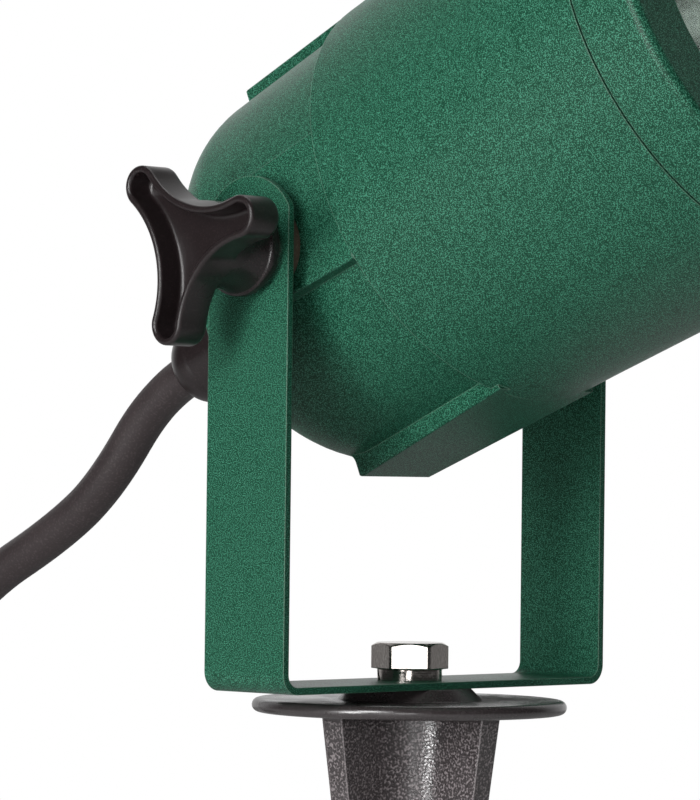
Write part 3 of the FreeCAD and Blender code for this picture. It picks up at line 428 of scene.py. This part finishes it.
FINISHES: dict[str, Finish] = {
    # The enamel's pale crests are painted glints on its grain.
    "textured_green_enamel": Finish(
        Slot.ENAMEL, linear(5, 64, 44), linear(84, 158, 130), roughness=(0.36, 0.44), specular=0.3,
        grain=3400.0, crest_range=(0.5, 0.62), crest_tone_and_glint_share=0.75, relief=0.00012, relief_strength=0.6,
        # The pale edge colour is a painted highlight along the strap's and the head's edges.
        drift=0.12, drift_scale=10.0, edge_radius=0.0005, edge_highlight_share=0.6, edge_highlight_colour=linear(150, 186, 164)),
    "moulded_black_nylon": Finish(
        Slot.NYLON, linear(33, 26, 27), linear(70, 59, 61), roughness=(0.24, 0.34), grain=1900.0,
        crest_tone_and_glint_share=0.25, relief=0.00005, relief_strength=0.25, edge_radius=0.0007, edge_highlight_share=0.45),
    # Painted highlight: the spike's black nylon is made lighter than the knobs', with near-white crests and
    # edges, to stand for its sheen.
    "spike_nylon_painted_highlight": Finish(
        Slot.NYLON, linear(58, 52, 53), linear(176, 166, 168), roughness=(0.2, 0.34), specular=1.0,
        grain=1500.0, crest_range=(0.46, 0.7), crest_tone_and_glint_share=0.55, relief=0.0003, relief_strength=0.5,
        drift_scale=60.0, edge_radius=0.0008, edge_highlight_share=0.7, calm_above=-0.001),
    "zinc_plated_steel": Finish(
        Slot.ZINC, linear(206, 199, 194), linear(236, 232, 228), roughness=(0.1, 0.22), metallic=1.0,
        grain=1300.0, crest_tone_and_glint_share=0.3, relief=0.00008, relief_strength=0.35, edge_radius=0.0003,
        edge_highlight_share=0.6, lines=0.5),
    "turned_brass": Finish(
        Slot.BRASS, linear(186, 150, 84), linear(214, 184, 120), roughness=(0.2, 0.35), metallic=1.0,
        grain=2600.0, relief=0.00003, relief_strength=0.2, lines=0.6),
    "nickel_plated_brass": Finish(
        Slot.NICKEL, linear(190, 186, 178), linear(216, 214, 208), roughness=(0.12, 0.24), metallic=1.0,
        grain=2400.0, relief=0.00002, relief_strength=0.2, lines=0.4),
    "moulded_rubber": Finish(
        Slot.RUBBER, linear(30, 28, 29), linear(52, 48, 49), roughness=(0.5, 0.68), grain=1400.0,
        relief=0.00006, relief_strength=0.4),
    "red_silicone": Finish(
        Slot.SILICONE, linear(150, 78, 58), linear(170, 100, 80), roughness=(0.45, 0.6), grain=1200.0,
        relief=0.00004, relief_strength=0.3),
    "clear_glass": Finish(
        Slot.GLASS, linear(244, 250, 247), linear(248, 252, 250), roughness=(0.01, 0.03), transmission=1.0,
        ior=1.5, grain=300.0, crest_tone_and_glint_share=0.0, relief=0.00002, relief_strength=0.05, drift=0.01,
        edge_highlight_share=0.0),
    "bright_reflector": Finish(
        Slot.MIRROR, linear(216, 216, 214), linear(236, 236, 234), roughness=(0.1, 0.2), metallic=1.0,
        grain=700.0, relief=0.00006, relief_strength=0.25),
    "glazed_ceramic": Finish(
        Slot.CERAMIC, linear(226, 222, 210), linear(238, 236, 228), roughness=(0.12, 0.22), coat=0.4,
        grain=500.0, relief=0.00004, relief_strength=0.2),
    "pressed_fibre": Finish(
        Slot.FIBRE, linear(96, 84, 70), linear(122, 110, 94), roughness=(0.6, 0.8), grain=1800.0,
        relief=0.00006, relief_strength=0.5),
    "black_rubber_sheath": Finish(
        Slot.CORD, linear(56, 48, 49), linear(84, 75, 76), roughness=(0.46, 0.6), specular=0.45, grain=1500.0,
        crest_tone_and_glint_share=0.4, relief=0.00006, relief_strength=0.4, drift=0.2, drift_scale=30.0, edge_highlight_share=0.0),
}

WEARERS: dict[str, tuple[str, ...]] = {
    "textured_green_enamel": ("bracket", "housing", "front_ring"),
    "spike_nylon_painted_highlight": ("ground_spike",),
    "moulded_black_nylon": ("knob_left", "knob_right", "gland_body", "gland_nut"),
    "zinc_plated_steel": ("base_bolt", "spring_washer", "knob_stud_left", "knob_stud_right",
                          "knob_washer_left", "knob_washer_right", "holder_strap", "holder_screws"),
    "turned_brass": ("spike_insert", "holder_shell", "holder_contact"),
    "nickel_plated_brass": ("lamp_cap", "plug_pins", "plug_clips"),
    "moulded_rubber": ("gland_seal", "plug_body"),
    "red_silicone": ("glass_gasket", "ring_seal"),
    "clear_glass": ("front_glass", "lamp_lens"),
    "bright_reflector": ("lamp_reflector",),
    "glazed_ceramic": ("lampholder", "terminal_block"),
    "pressed_fibre": ("friction_washer_left", "friction_washer_right"),
    "black_rubber_sheath": ("cord_entry",),
}
NODE_FINISH: dict[str, str] = {node: finish for finish, nodes in WEARERS.items() for node in nodes}


class Palette:
    """All finishes as materials, each made when it is first asked for."""

    def __init__(self) -> None:
        """Make the shared effects."""
        self.effects = Effects()
        self.made: dict[str, bpy.types.Material] = {}

    def get(self, name: str) -> bpy.types.Material:
        """The material of a finish."""
        if name not in self.made:
            self.made[name] = FINISHES[name].material(name, self.effects)
        return self.made[name]

    def dress(self, thing: bpy.types.Object, name: str) -> None:
        """Give a piece a finish in its only material slot."""
        thing.data.materials.clear()
        thing.data.materials.append(self.get(name))


# ---- shaped pieces -------------------------------------------------------------------------------
class Skin:
    """Closed skins made of rings of points, in millimetres."""

    @staticmethod
    def build(name: str, rings: np.ndarray, sharp: float = 32.0) -> bpy.types.Object:
        """Make one closed piece from rings, each end drawn in to a point.

        Args:
            name: the piece's name.
            rings: rows of ring points, shaped (rows, columns, 3).
            sharp: angle in degrees above which an edge stays sharp.

        Returns:
            The piece, with its faces turned outwards.
        """
        rows, columns = rings.shape[:2]
        ends = rings[[0, -1]].mean(axis=1)
        points = np.concatenate([rings.reshape(-1, 3), ends])
        here = np.arange(rows * columns).reshape(rows, columns)
        after = np.roll(here, -1, axis=1)
        quads = np.stack([here[:-1], after[:-1], after[1:], here[1:]], axis=-1).reshape(-1, 4)
        first = np.stack([np.full(columns, rows * columns), after[0], here[0]], axis=-1)
        last = np.stack([np.full(columns, rows * columns + 1), here[-1], after[-1]], axis=-1)
        halves = np.concatenate([quads[:, [0, 1, 2]], quads[:, [0, 2, 3]], first, last])
        volume = np.einsum("ij,ij->", points[halves[:, 0]],
                           np.cross(points[halves[:, 1]], points[halves[:, 2]]))
        faces = quads.tolist() + first.tolist() + last.tolist()
        if volume < 0:
            faces = [face[::-1] for face in faces]
        mesh = bpy.data.meshes.new(name)
        mesh.from_pydata((points * MM).tolist(), [], faces)
        mesh.polygons.foreach_set("use_smooth", np.ones(len(mesh.polygons), dtype=bool))
        mesh.set_sharp_from_angle(angle=math.radians(sharp))
        mesh.update()
        return new_object(name, mesh)


@dataclass(frozen=True)
class Star:
    """A three-armed outline of round tips and hollow flanks, sampled at matching places for any inset.

    A tip is an arc round the arm's end, and a flank an arc that touches two tips and passes the
    middle at the waist. An inset takes from the tips' radius and adds to the flanks'.
    """

    reach: float = 27.8
    tip: float = 5.6
    waist: float = 10.4
    tip_points: int = 26
    flank_points: int = 34

    def ring(self, inset: float) -> np.ndarray:
        """Work out the outline drawn in by an inset.

        Args:
            inset: how far the outline is drawn in.

        Returns:
            Its points, shaped (columns, 2).
        """
        arm = self.reach - self.tip
        flank_r = (arm ** 2 + self.waist ** 2 - arm * self.waist - self.tip ** 2) / (
            arm + 2 * self.tip - 2 * self.waist)
        flank = (self.waist + flank_r) * np.array([math.cos(math.pi / 3), math.sin(math.pi / 3)])
        lean = math.atan2(flank[1], flank[0] - arm)
        tip_turn = np.linspace(-lean, lean, self.tip_points, endpoint=False)
        tip = np.array([arm, 0]) + (self.tip - inset) * np.stack([np.cos(tip_turn), np.sin(tip_turn)], axis=1)
        swing = math.pi * 4 / 3 - (lean + math.pi)
        flank_turn = math.pi * 4 / 3 - swing * np.linspace(1, -1, self.flank_points, endpoint=False)
        side = flank + (flank_r + inset) * np.stack([np.cos(flank_turn), np.sin(flank_turn)], axis=1)
        third = np.concatenate([tip, side])
        turns = [np.array([[math.cos(a), math.sin(a)], [-math.sin(a), math.cos(a)]])
                 for a in (0, 2 * math.pi / 3, 4 * math.pi / 3)]
        return np.concatenate([third @ turn for turn in turns])


@dataclass(frozen=True)
class Knob:
    """A three-armed clamping knob: flange, waisted hub, and arms that flow out of it round a recess.

    side is -1 on the left leg and 1 on the right one. Heights run outwards from the leg's face, and
    flange_edge holds the flange's profile as pairs of inset and height above the knob's underside.
    """

    side: int
    star: Star = field(default_factory=Star)
    low: float = 1.6
    star_low: float = 14.6
    face: float = 25.6
    recess: float = 7.5
    wall: float = 2.0
    socket: float = 4.05
    socket_above: float = 1.0
    flange: float = 13.5
    flange_edge: tuple[tuple[float, float], ...] = ((0.6, 0.0), (0.15, 0.2), (0.0, 0.7),
                                                    (0.0, 2.3), (0.2, 2.8), (0.7, 3.0))
    hub: float = 11.6
    hub_flare: float = 2.4
    root: float = 2.2
    root_spread: float = 1.3
    root_curve: float = 0.8
    floor_round: float = 1.2
    floor_shares: tuple[float, ...] = (0.75, 0.4, 0.1)
    turn: float = -7.0
    leg: float = 65.0

    def circle(self, radius: float) -> np.ndarray:
        """A round ring whose points lie on the same headings as the outline's."""
        outline = self.star.ring(0.0)
        return outline / np.linalg.norm(outline, axis=1, keepdims=True) * radius

    def outside_hub(self, flat: np.ndarray) -> np.ndarray:
        """A ring whose points are pushed out at least as far as the hub."""
        length = np.linalg.norm(flat, axis=1, keepdims=True)
        return flat * np.maximum(1.0, self.hub / length)

    def foot(self) -> Rings:
        """The stud's socket, the underside and the flange's rounded edge.

        Returns:
            Rings with their heights.
        """
        socket_end = self.star_low + self.socket_above
        yield self.circle(self.socket / 2), socket_end
        yield self.circle(self.socket), socket_end
        yield self.circle(self.socket), self.low
        for inset, height in self.flange_edge:
            yield self.circle(self.flange - inset), self.low + height

    def neck(self) -> Rings:
        """The hub above the flange: its excess over the hub's radius falls as a power of the height left.

        Returns:
            Rings with their heights.
        """
        inset, height = self.flange_edge[-1]
        start = self.low + height
        spread = self.flange - inset - self.hub
        for part in np.linspace(0.08, 1.0, 12):
            yield (self.circle(self.hub + spread * (1 - part) ** self.hub_flare),
                   start + (self.star_low - self.root - start) * part)

    def roots(self) -> Rings:
        """The arms' underside: the hub's circle blended into the outline by a power of the way out.

        Returns:
            Rings with their heights.
        """
        inner = self.star.ring(self.wall)
        for part in np.linspace(0.1, 1.0, 12):
            share = part ** self.root_spread
            yield (self.outside_hub(self.circle(self.hub) * (1 - share) + inner * share),
                   self.star_low - self.root + self.root * math.sin(part * math.pi / 2) ** self.root_curve)

    def back(self) -> Rings:
        """The arms' rounded back edge: a quarter turn as wide as the wall.

        Returns:
            Rings with their heights.
        """
        for angle in np.linspace(0.15, 1.0, 7) * math.pi / 2:
            yield (self.outside_hub(self.star.ring(self.wall * (1 - math.sin(angle)))),
                   self.star_low + self.wall * (1 - math.cos(angle)))

    def rim(self) -> Rings:
        """The wall's front edge: a half turn from its outer side to its inner one.

        Returns:
            Rings with their heights.
        """
        half = self.wall / 2
        for angle in np.linspace(0.0, math.pi, 11):
            yield (self.star.ring(half * (1 - math.cos(angle))),
                   self.face - half + half * math.sin(angle))

    def pocket(self) -> Rings:
        """The recess: its side rounded into the floor, and the floor drawn in to the middle.

        Returns:
            Rings with their heights.
        """
        floor = self.face - self.recess
        for angle in np.linspace(0.0, math.pi / 2, 5):
            yield (self.star.ring(self.wall + self.floor_round * (1 - math.cos(angle))),
                   floor + self.floor_round * (1 - math.sin(angle)))
        for share in self.floor_shares:
            yield self.star.ring(self.wall + self.floor_round) * share, floor

    def rings(self) -> np.ndarray:
        """All rings of the knob, drawn along +Z from the leg's face.

        Returns:
            Their points, shaped (rows, columns, 3).
        """
        parts = (self.foot(), self.neck(), self.roots(), self.back(), self.rim(), self.pocket())
        return np.stack([np.c_[flat, np.full(len(flat), height)] for part in parts for flat, height in part])

    def build(self, name: str) -> bpy.types.Object:
        """Make the knob in its place on the tilted head.

        Args:
            name: the piece's name.

        Returns:
            The knob.
        """
        rings = self.rings()
        angle = math.radians(self.turn)
        across = rings[..., 0] * math.cos(angle) - rings[..., 1] * math.sin(angle)
        along = rings[..., 0] * math.sin(angle) + rings[..., 1] * math.cos(angle)
        out = rings[..., 2]
        x = self.side * (out + self.leg)
        y, z = along, -self.side * across
        tilt = math.radians(90 - HEAD_RISE)
        placed = np.stack([x, y * math.cos(tilt) - z * math.sin(tilt),
                           y * math.sin(tilt) + z * math.cos(tilt) + PIVOT], axis=-1)
        return Skin.build(name, placed)


@dataclass(frozen=True)
class HexBolt:
    """A hexagon bolt: chamfered head with slightly rounded corners and a shank. Angles are in degrees.

    round_edge and hexagon_edge hold the head's lower edge as pairs of inset and height above the seat,
    first from the circle inside the flats and then from the hexagon. The edge under the chamfer is
    broken by break_inset, from break_low to break_high below it.
    """

    flats: float = 19.0
    seat: float = 12.0
    height: float = 7.5
    shank: float = 6.0
    shank_chamfer: float = 1.0
    shank_hollow: float = 2.5
    length: float = 25.0
    turn: float = 13.0
    columns: int = 240
    corner_cut: float = 0.22
    round_edge: tuple[tuple[float, float], ...] = ((0.5, 0.0), (0.25, 0.15))
    hexagon_edge: tuple[tuple[float, float], ...] = ((0.12, 0.3), (0.0, 0.5))
    chamfer: float = 30.0
    face_inset: float = 0.3
    break_inset: float = 0.08
    break_low: float = 0.16
    break_high: float = 0.04
    dish_inset: float = 0.35
    dish: float = 0.05

    def rings(self) -> np.ndarray:
        """All rings of the bolt from the shank's end to the middle of the head's top.

        The hexagon's radius is half the flats over the cosine of the lean from the nearest flat, held
        below the cut corners, and the chamfer falls with it.

        Returns:
            Their points, shaped (rows, columns, 3).
        """
        angle = np.linspace(0, 2 * math.pi, self.columns, endpoint=False)
        lean = (np.degrees(angle) - self.turn) % 60 - 30
        flat = self.flats / 2
        corner = flat / math.cos(math.radians(30)) - self.corner_cut
        outline = np.minimum(flat / np.cos(np.radians(lean)), corner)
        heading = np.stack([np.cos(angle), np.sin(angle)], axis=1)
        rows: list[np.ndarray] = []

        def add(radius: float | np.ndarray, height: float | np.ndarray) -> None:
            """Keep one ring of radii at heights."""
            rows.append(np.c_[heading * np.broadcast_to(radius, angle.shape)[:, None],
                              np.broadcast_to(height, angle.shape)])

        end = self.seat - self.length
        for radius, height in ((self.shank_hollow, end), (self.shank - self.shank_chamfer, end),
                               (self.shank, end + self.shank_chamfer), (self.shank, self.seat)):
            add(radius, height)
        for inset, height in self.round_edge:
            add(flat - inset, self.seat + height)
        for inset, height in self.hexagon_edge:
            add(outline - inset, self.seat + height)
        top = self.seat + self.height
        face = flat - self.face_inset
        cut = top - (outline - face) * math.tan(math.radians(self.chamfer))
        side_low = self.seat + self.hexagon_edge[-1][1]
        for part in np.linspace(0.1, 1.0, 8):
            add(outline, side_low + (cut - self.break_low - side_low) * part)
        broken = outline - self.break_inset
        add(broken, cut - self.break_high)
        for part in np.linspace(0.25, 1.0, 4):
            add(broken + (face - broken) * part, cut + (top - cut) * part)
        add(face - self.dish_inset, top)
        for share in (0.7, 0.3):
            add(face * share, top - self.dish)
        return np.stack(rows)

    def build(self, name: str) -> bpy.types.Object:
        """Make the bolt."""
        return Skin.build(name, self.rings(), sharp=18.0)


def stand_in(piece: bpy.types.Object, node: str, body: str, palette: Palette) -> None:
    """Put a shaped piece in place of a plain solid, with that solid's finish.

    Args:
        piece: the shaped piece.
        node: the solid that it replaces.
        body: the body that it rides on.
        palette: the finishes.
    """
    finish = NODE_FINISH[node]
    palette.dress(piece, finish)
    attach(piece, body)
    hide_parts(node)
    LOG.info("%s in place of %s", piece.name, node)


def shaped_pieces(palette: Palette) -> None:
    """Make the shaped knobs and bolt."""
    for side, word in ((-1, "left"), (1, "right")):
        stand_in(Knob(side).build("clamp_knob_" + word), "knob_" + word, "knob_" + word, palette)
    stand_in(HexBolt().build("hexagon_bolt"), "base_bolt", "base", palette)


# ---- cord ----------------------------------------------------------------------------------------
@dataclass(frozen=True)
class Cord:
    """The rubber cord: from the gland down to the floor, into a two-layer coil and to its plug.

    Millimetres, but length, the whole cord outside the gland, is in metres. lying is the height of
    the cord's middle where it lies on the floor, and lead repeats the solid cord's points.
    """

    radius: float = 6.2
    length: float = 2.038
    gland_rise: float = 6.0
    gland_back: float = 93.3
    straight: float = 15.8
    lying: float = -183.8
    lead: tuple[Place, ...] = (
        (0, 124.7, 62.0), (0, 146.0, 47.5), (0, 182.0, 30.3), (-5.0, 207.7, -0.3), (-14.0, 224.8, -47.3),
        (-27.0, 238.1, -100.7), (-44.0, 270.1, -141.7), (-64.0, 316.9, -168.7), (-78.0, 373.2, -183.8))
    coil_start: float = 425.0
    coil_radius: float = 78.0
    coil_pitch: float = 13.4
    coil_lift: float = 13.2
    layer_turns: float = 1.5
    steps: int = 16
    tail: tuple[tuple[float, float], ...] = ((78.0, 404.0), (73.0, 378.0), (73.0, 355.0))
    order: int = 3
    steps_along: int = 12
    steps_round: int = 6

    def coil(self) -> np.ndarray:
        """Work out the coil: radius falls by a pitch a turn, climbs a layer in a half turn, and grows.

        The points lie half a step on, where tangents of the true coil meet, so the spline follows it.

        Returns:
            Its control points, shaped (points, 3).
        """
        layer, climb = 2 * math.pi * self.layer_turns, math.pi
        total = 2 * layer + climb
        count = int(round(total / (2 * math.pi) * self.steps))
        turn = (np.arange(count) + 0.5) * total / count
        inner = self.coil_radius - self.coil_pitch * self.layer_turns
        part = np.clip((turn - layer) / climb, 0, 1)
        falling = self.coil_radius - self.coil_pitch * turn / (2 * math.pi)
        growing = inner + self.coil_pitch * (turn - layer - climb) / (2 * math.pi)
        climbing = inner - self.coil_pitch / 4 * np.sin(math.pi * part) ** 2
        radius = np.where(turn <= layer, falling, np.where(turn >= layer + climb, growing, climbing))
        lift = self.coil_lift * (1 - np.cos(math.pi * part)) / 2
        bulge = 1 / math.cos(math.pi / self.steps)
        x = -radius * bulge * np.cos(turn)
        y = self.coil_start + 2 * self.radius + radius * bulge * np.sin(turn)
        return np.stack([x, y, self.lying + lift], axis=1)

    def points(self, gland_end: Vector, back: Vector) -> np.ndarray:
        """Work out the route's control points.

        Args:
            gland_end: where the cord leaves the gland.
            back: the direction in which it leaves.

        Returns:
            One row for each point.
        """
        first = [tuple(gland_end), tuple(gland_end + back * self.straight)]
        into = (-self.coil_radius, self.coil_start, self.lying)
        upper = self.lying + self.coil_lift
        out = (self.coil_radius, self.coil_start, upper)
        tail = [(x, y, upper) for x, y in self.tail]
        return np.array([*first, *self.lead, into, *self.coil(), out, *tail])

    def build(self, palette: Palette) -> bpy.types.Object:
        """Args:
            palette: the finishes.

        Returns:
            The cord.
        """
        rise = math.radians(HEAD_RISE)
        back = Vector((0, math.cos(rise), -math.sin(rise)))
        up = Vector((0, math.sin(rise), math.cos(rise)))
        end = Vector((0, 0, PIVOT)) + up * self.gland_rise + back * self.gland_back
        route = self.points(end, back) * MM
        curve = bpy.data.curves.new("cord", "CURVE")
        curve.dimensions = "3D"
        spline = curve.splines.new("NURBS")
        spline.points.add(len(route) - 1)
        spline.points.foreach_set("co", np.c_[route, np.ones(len(route))].ravel())
        spline.order_u = self.order
        spline.use_endpoint_u = True
        curve.resolution_u = self.steps_along
        curve.bevel_depth = self.radius * MM
        curve.bevel_resolution = self.steps_round
        curve.use_fill_caps = True
        cord = new_object("cord", curve)
        palette.dress(cord, "black_rubber_sheath")
        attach(cord, "bracket")
        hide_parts("cord_lead", "cord_run", "cord_coil", "cord_tail")
        return cord


# ---- studio --------------------------------------------------------------------------------------
@dataclass(frozen=True)
class Lamp:
    """One soft rectangular lamp of the studio, in metres and watts.

    Its place and the point it faces are given right, up and towards the camera from the head.
    """

    name: str
    place: Place
    aim: Place
    size: tuple[float, float]
    power: float


LAMPS: tuple[Lamp, ...] = (
    Lamp("key", (-0.74, 0.5, 1.3), (0, 0, 0), (0.5, 0.6), 11.0),
    Lamp("low", (-1.0, 0.02, 1.05), (0, -0.03, 0), (0.35, 0.5), 8.5),
    Lamp("card", (-0.1, -0.04, 1.5), (0, -0.08, 0), (0.4, 0.34), 1.8),
    Lamp("top", (0.2, 1.5, -0.4), (0, 0, 0), (1.0, 0.5), 5.0),
)


@dataclass(frozen=True)
class Studio:
    """Floor, lamps, surroundings and the camera at the photograph's place, in metres and degrees.

    gloss_turn and plain_turn are cosines between a direction and the way the camera looks. Over each
    of them the surroundings go from the first strength in gloss_light or plain_light to the second.
    """

    floor: float = -0.190
    floor_reach: float = 1.5
    floor_grey: float = 0.6
    floor_roughness: float = 0.9
    floor_shine: float = 0.5
    floor_gloss_shine: float = 0.06
    camera_place: Place = (-0.8747, -0.8175, 0.0633)
    heading: float = 46.1
    pitch: float = 1.12
    roll: float = 0.67
    focal_px: float = 4300.0
    frame_px: tuple[int, int] = (700, 800)
    sensor_mm: float = 36.0
    clip: tuple[float, float] = (0.01, 50.0)
    head_height: float = 0.1
    gloss_turn: tuple[float, float] = (0.3, 0.99)
    gloss_light: tuple[float, float] = (0.035, 0.9)
    plain_turn: tuple[float, float] = (-0.6, 0.6)
    plain_light: tuple[float, float] = (0.16, 0.28)

    def axes(self) -> tuple[Vector, Vector, Vector]:
        """Work out the camera's directions from its heading, pitch and roll.

        Returns:
            Right, up and backwards.
        """
        heading, pitch, roll = (math.radians(v) for v in (self.heading, self.pitch, self.roll))
        level = Vector((math.sin(heading), math.cos(heading), 0))
        side = Vector((math.cos(heading), -math.sin(heading), 0))
        look = level * math.cos(pitch) + Vector((0, 0, math.sin(pitch)))
        top = side.cross(look)
        right = side * math.cos(roll) + top * math.sin(roll)
        up = top * math.cos(roll) - side * math.sin(roll)
        return right, up, -look

    def camera(self) -> None:
        """Place the camera."""
        data = bpy.data.cameras.new("camera")
        data.sensor_fit = "VERTICAL"
        data.sensor_height = self.sensor_mm
        data.lens = self.focal_px / self.frame_px[1] * self.sensor_mm
        data.clip_start, data.clip_end = self.clip
        eye = new_object("camera", data)
        right, up, back = self.axes()
        place = Matrix((right, up, back)).transposed().to_4x4()
        place.translation = Vector(self.camera_place)
        eye.matrix_world = place
        bpy.context.scene.camera = eye

    def light(self, lamp: Lamp) -> None:
        """Place one lamp.

        Args:
            lamp: its name, places, size and power.
        """
        right, up, back = self.axes()
        centre = Vector((0, 0, self.head_height))
        place, aim = (centre + right * spot[0] + up * spot[1] + back * spot[2]
                      for spot in (lamp.place, lamp.aim))
        data = bpy.data.lights.new(lamp.name, "AREA")
        data.shape = "RECTANGLE"
        data.size, data.size_y = lamp.size
        data.energy = lamp.power
        thing = new_object(lamp.name, data)
        thing.location = place
        thing.rotation_euler = (aim - place).to_track_quat("-Z", "Y").to_euler()

    def surroundings(self) -> None:
        """White to the eye, and a white sweep behind and darker room in front for gloss."""
        world = bpy.data.worlds.new("surroundings")
        bpy.context.scene.world = world
        world.use_nodes = True
        world.node_tree.nodes.clear()
        tree = Tree(world.node_tree)
        path = tree.node("LightPath")
        turn = tree.dot(tree.node("TexCoord").outputs["Generated"], -self.axes()[2])
        behind = tree.ramp(turn, *self.gloss_turn, *self.gloss_light)
        plain_room = tree.ramp(turn, *self.plain_turn, *self.plain_light)
        glossy = tree.math("MAXIMUM", path.outputs["Is Glossy Ray"], path.outputs["Is Transmission Ray"])
        strength = tree.math("ADD", tree.math("MULTIPLY", glossy, behind),
                             tree.math("MULTIPLY", tree.math("SUBTRACT", 1.0, glossy), plain_room))
        seen = path.outputs["Is Camera Ray"]
        total = tree.math("ADD", seen, tree.math("MULTIPLY", tree.math("SUBTRACT", 1.0, seen), strength))
        back = tree.node("Background", Color=(1, 1, 1, 1), Strength=total)
        out = tree.node("OutputWorld")
        tree.join(back.outputs[0], out.inputs[0])

    def floor_sheet(self) -> None:
        """A wide white floor that keeps the shadows."""
        mesh = bpy.data.meshes.new("floor")
        corners = np.array([[-1, -1], [1, -1], [1, 1], [-1, 1]]) * self.floor_reach
        mesh.from_pydata(np.c_[corners, np.full(4, self.floor)].tolist(), [], [(0, 1, 2, 3)])
        floor = new_object("floor", mesh)
        made, tree = new_material("floor_white")
        path = tree.node("LightPath")
        shader = tree.node("BsdfPrincipled", Base_Color=(*(self.floor_grey,) * 3, 1),
                           Roughness=self.floor_roughness, Emission_Color=(1, 1, 1, 1))
        seen = tree.math("MAXIMUM", path.outputs["Is Camera Ray"], path.outputs["Is Transmission Ray"])
        shine = tree.math("ADD", tree.math("MULTIPLY", seen, self.floor_shine),
                          tree.math("MULTIPLY", path.outputs["Is Glossy Ray"], self.floor_gloss_shine))
        tree.join(shine, shader.inputs["Emission Strength"])
        out = tree.node("OutputMaterial")
        tree.join(shader.outputs[0], out.inputs[0])
        mesh.materials.append(made)

    def build(self) -> None:
        """Set the whole studio up."""
        self.camera()
        self.surroundings()
        self.floor_sheet()
        for lamp in LAMPS:
            self.light(lamp)
        bpy.context.scene.view_settings.view_transform = "Standard"


# ---- the whole object ----------------------------------------------------------------------------
def dress_nodes(frame: dict, palette: Palette) -> None:
    """Give every solid its finish, also those that shaped pieces stand in for.

    Args:
        frame: what the frame holds, with its nodes by name.
        palette: the finishes.
    """
    for name, node in frame["nodes"].items():
        if name in NODE_FINISH:
            palette.dress(node, NODE_FINISH[name])
            LOG.info("%s: %s", name, NODE_FINISH[name])


def main() -> None:
    """Load the solids, dress them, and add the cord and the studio."""
    logging.basicConfig(level=logging.INFO, format="%(name)s %(message)s")
    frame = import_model()
    palette = Palette()
    dress_nodes(frame, palette)
    shaped_pieces(palette)
    cord = Cord().build(palette)
    LOG.info("built %s", cord.name)
    Studio().build()


if __name__ == "__main__":
    main()
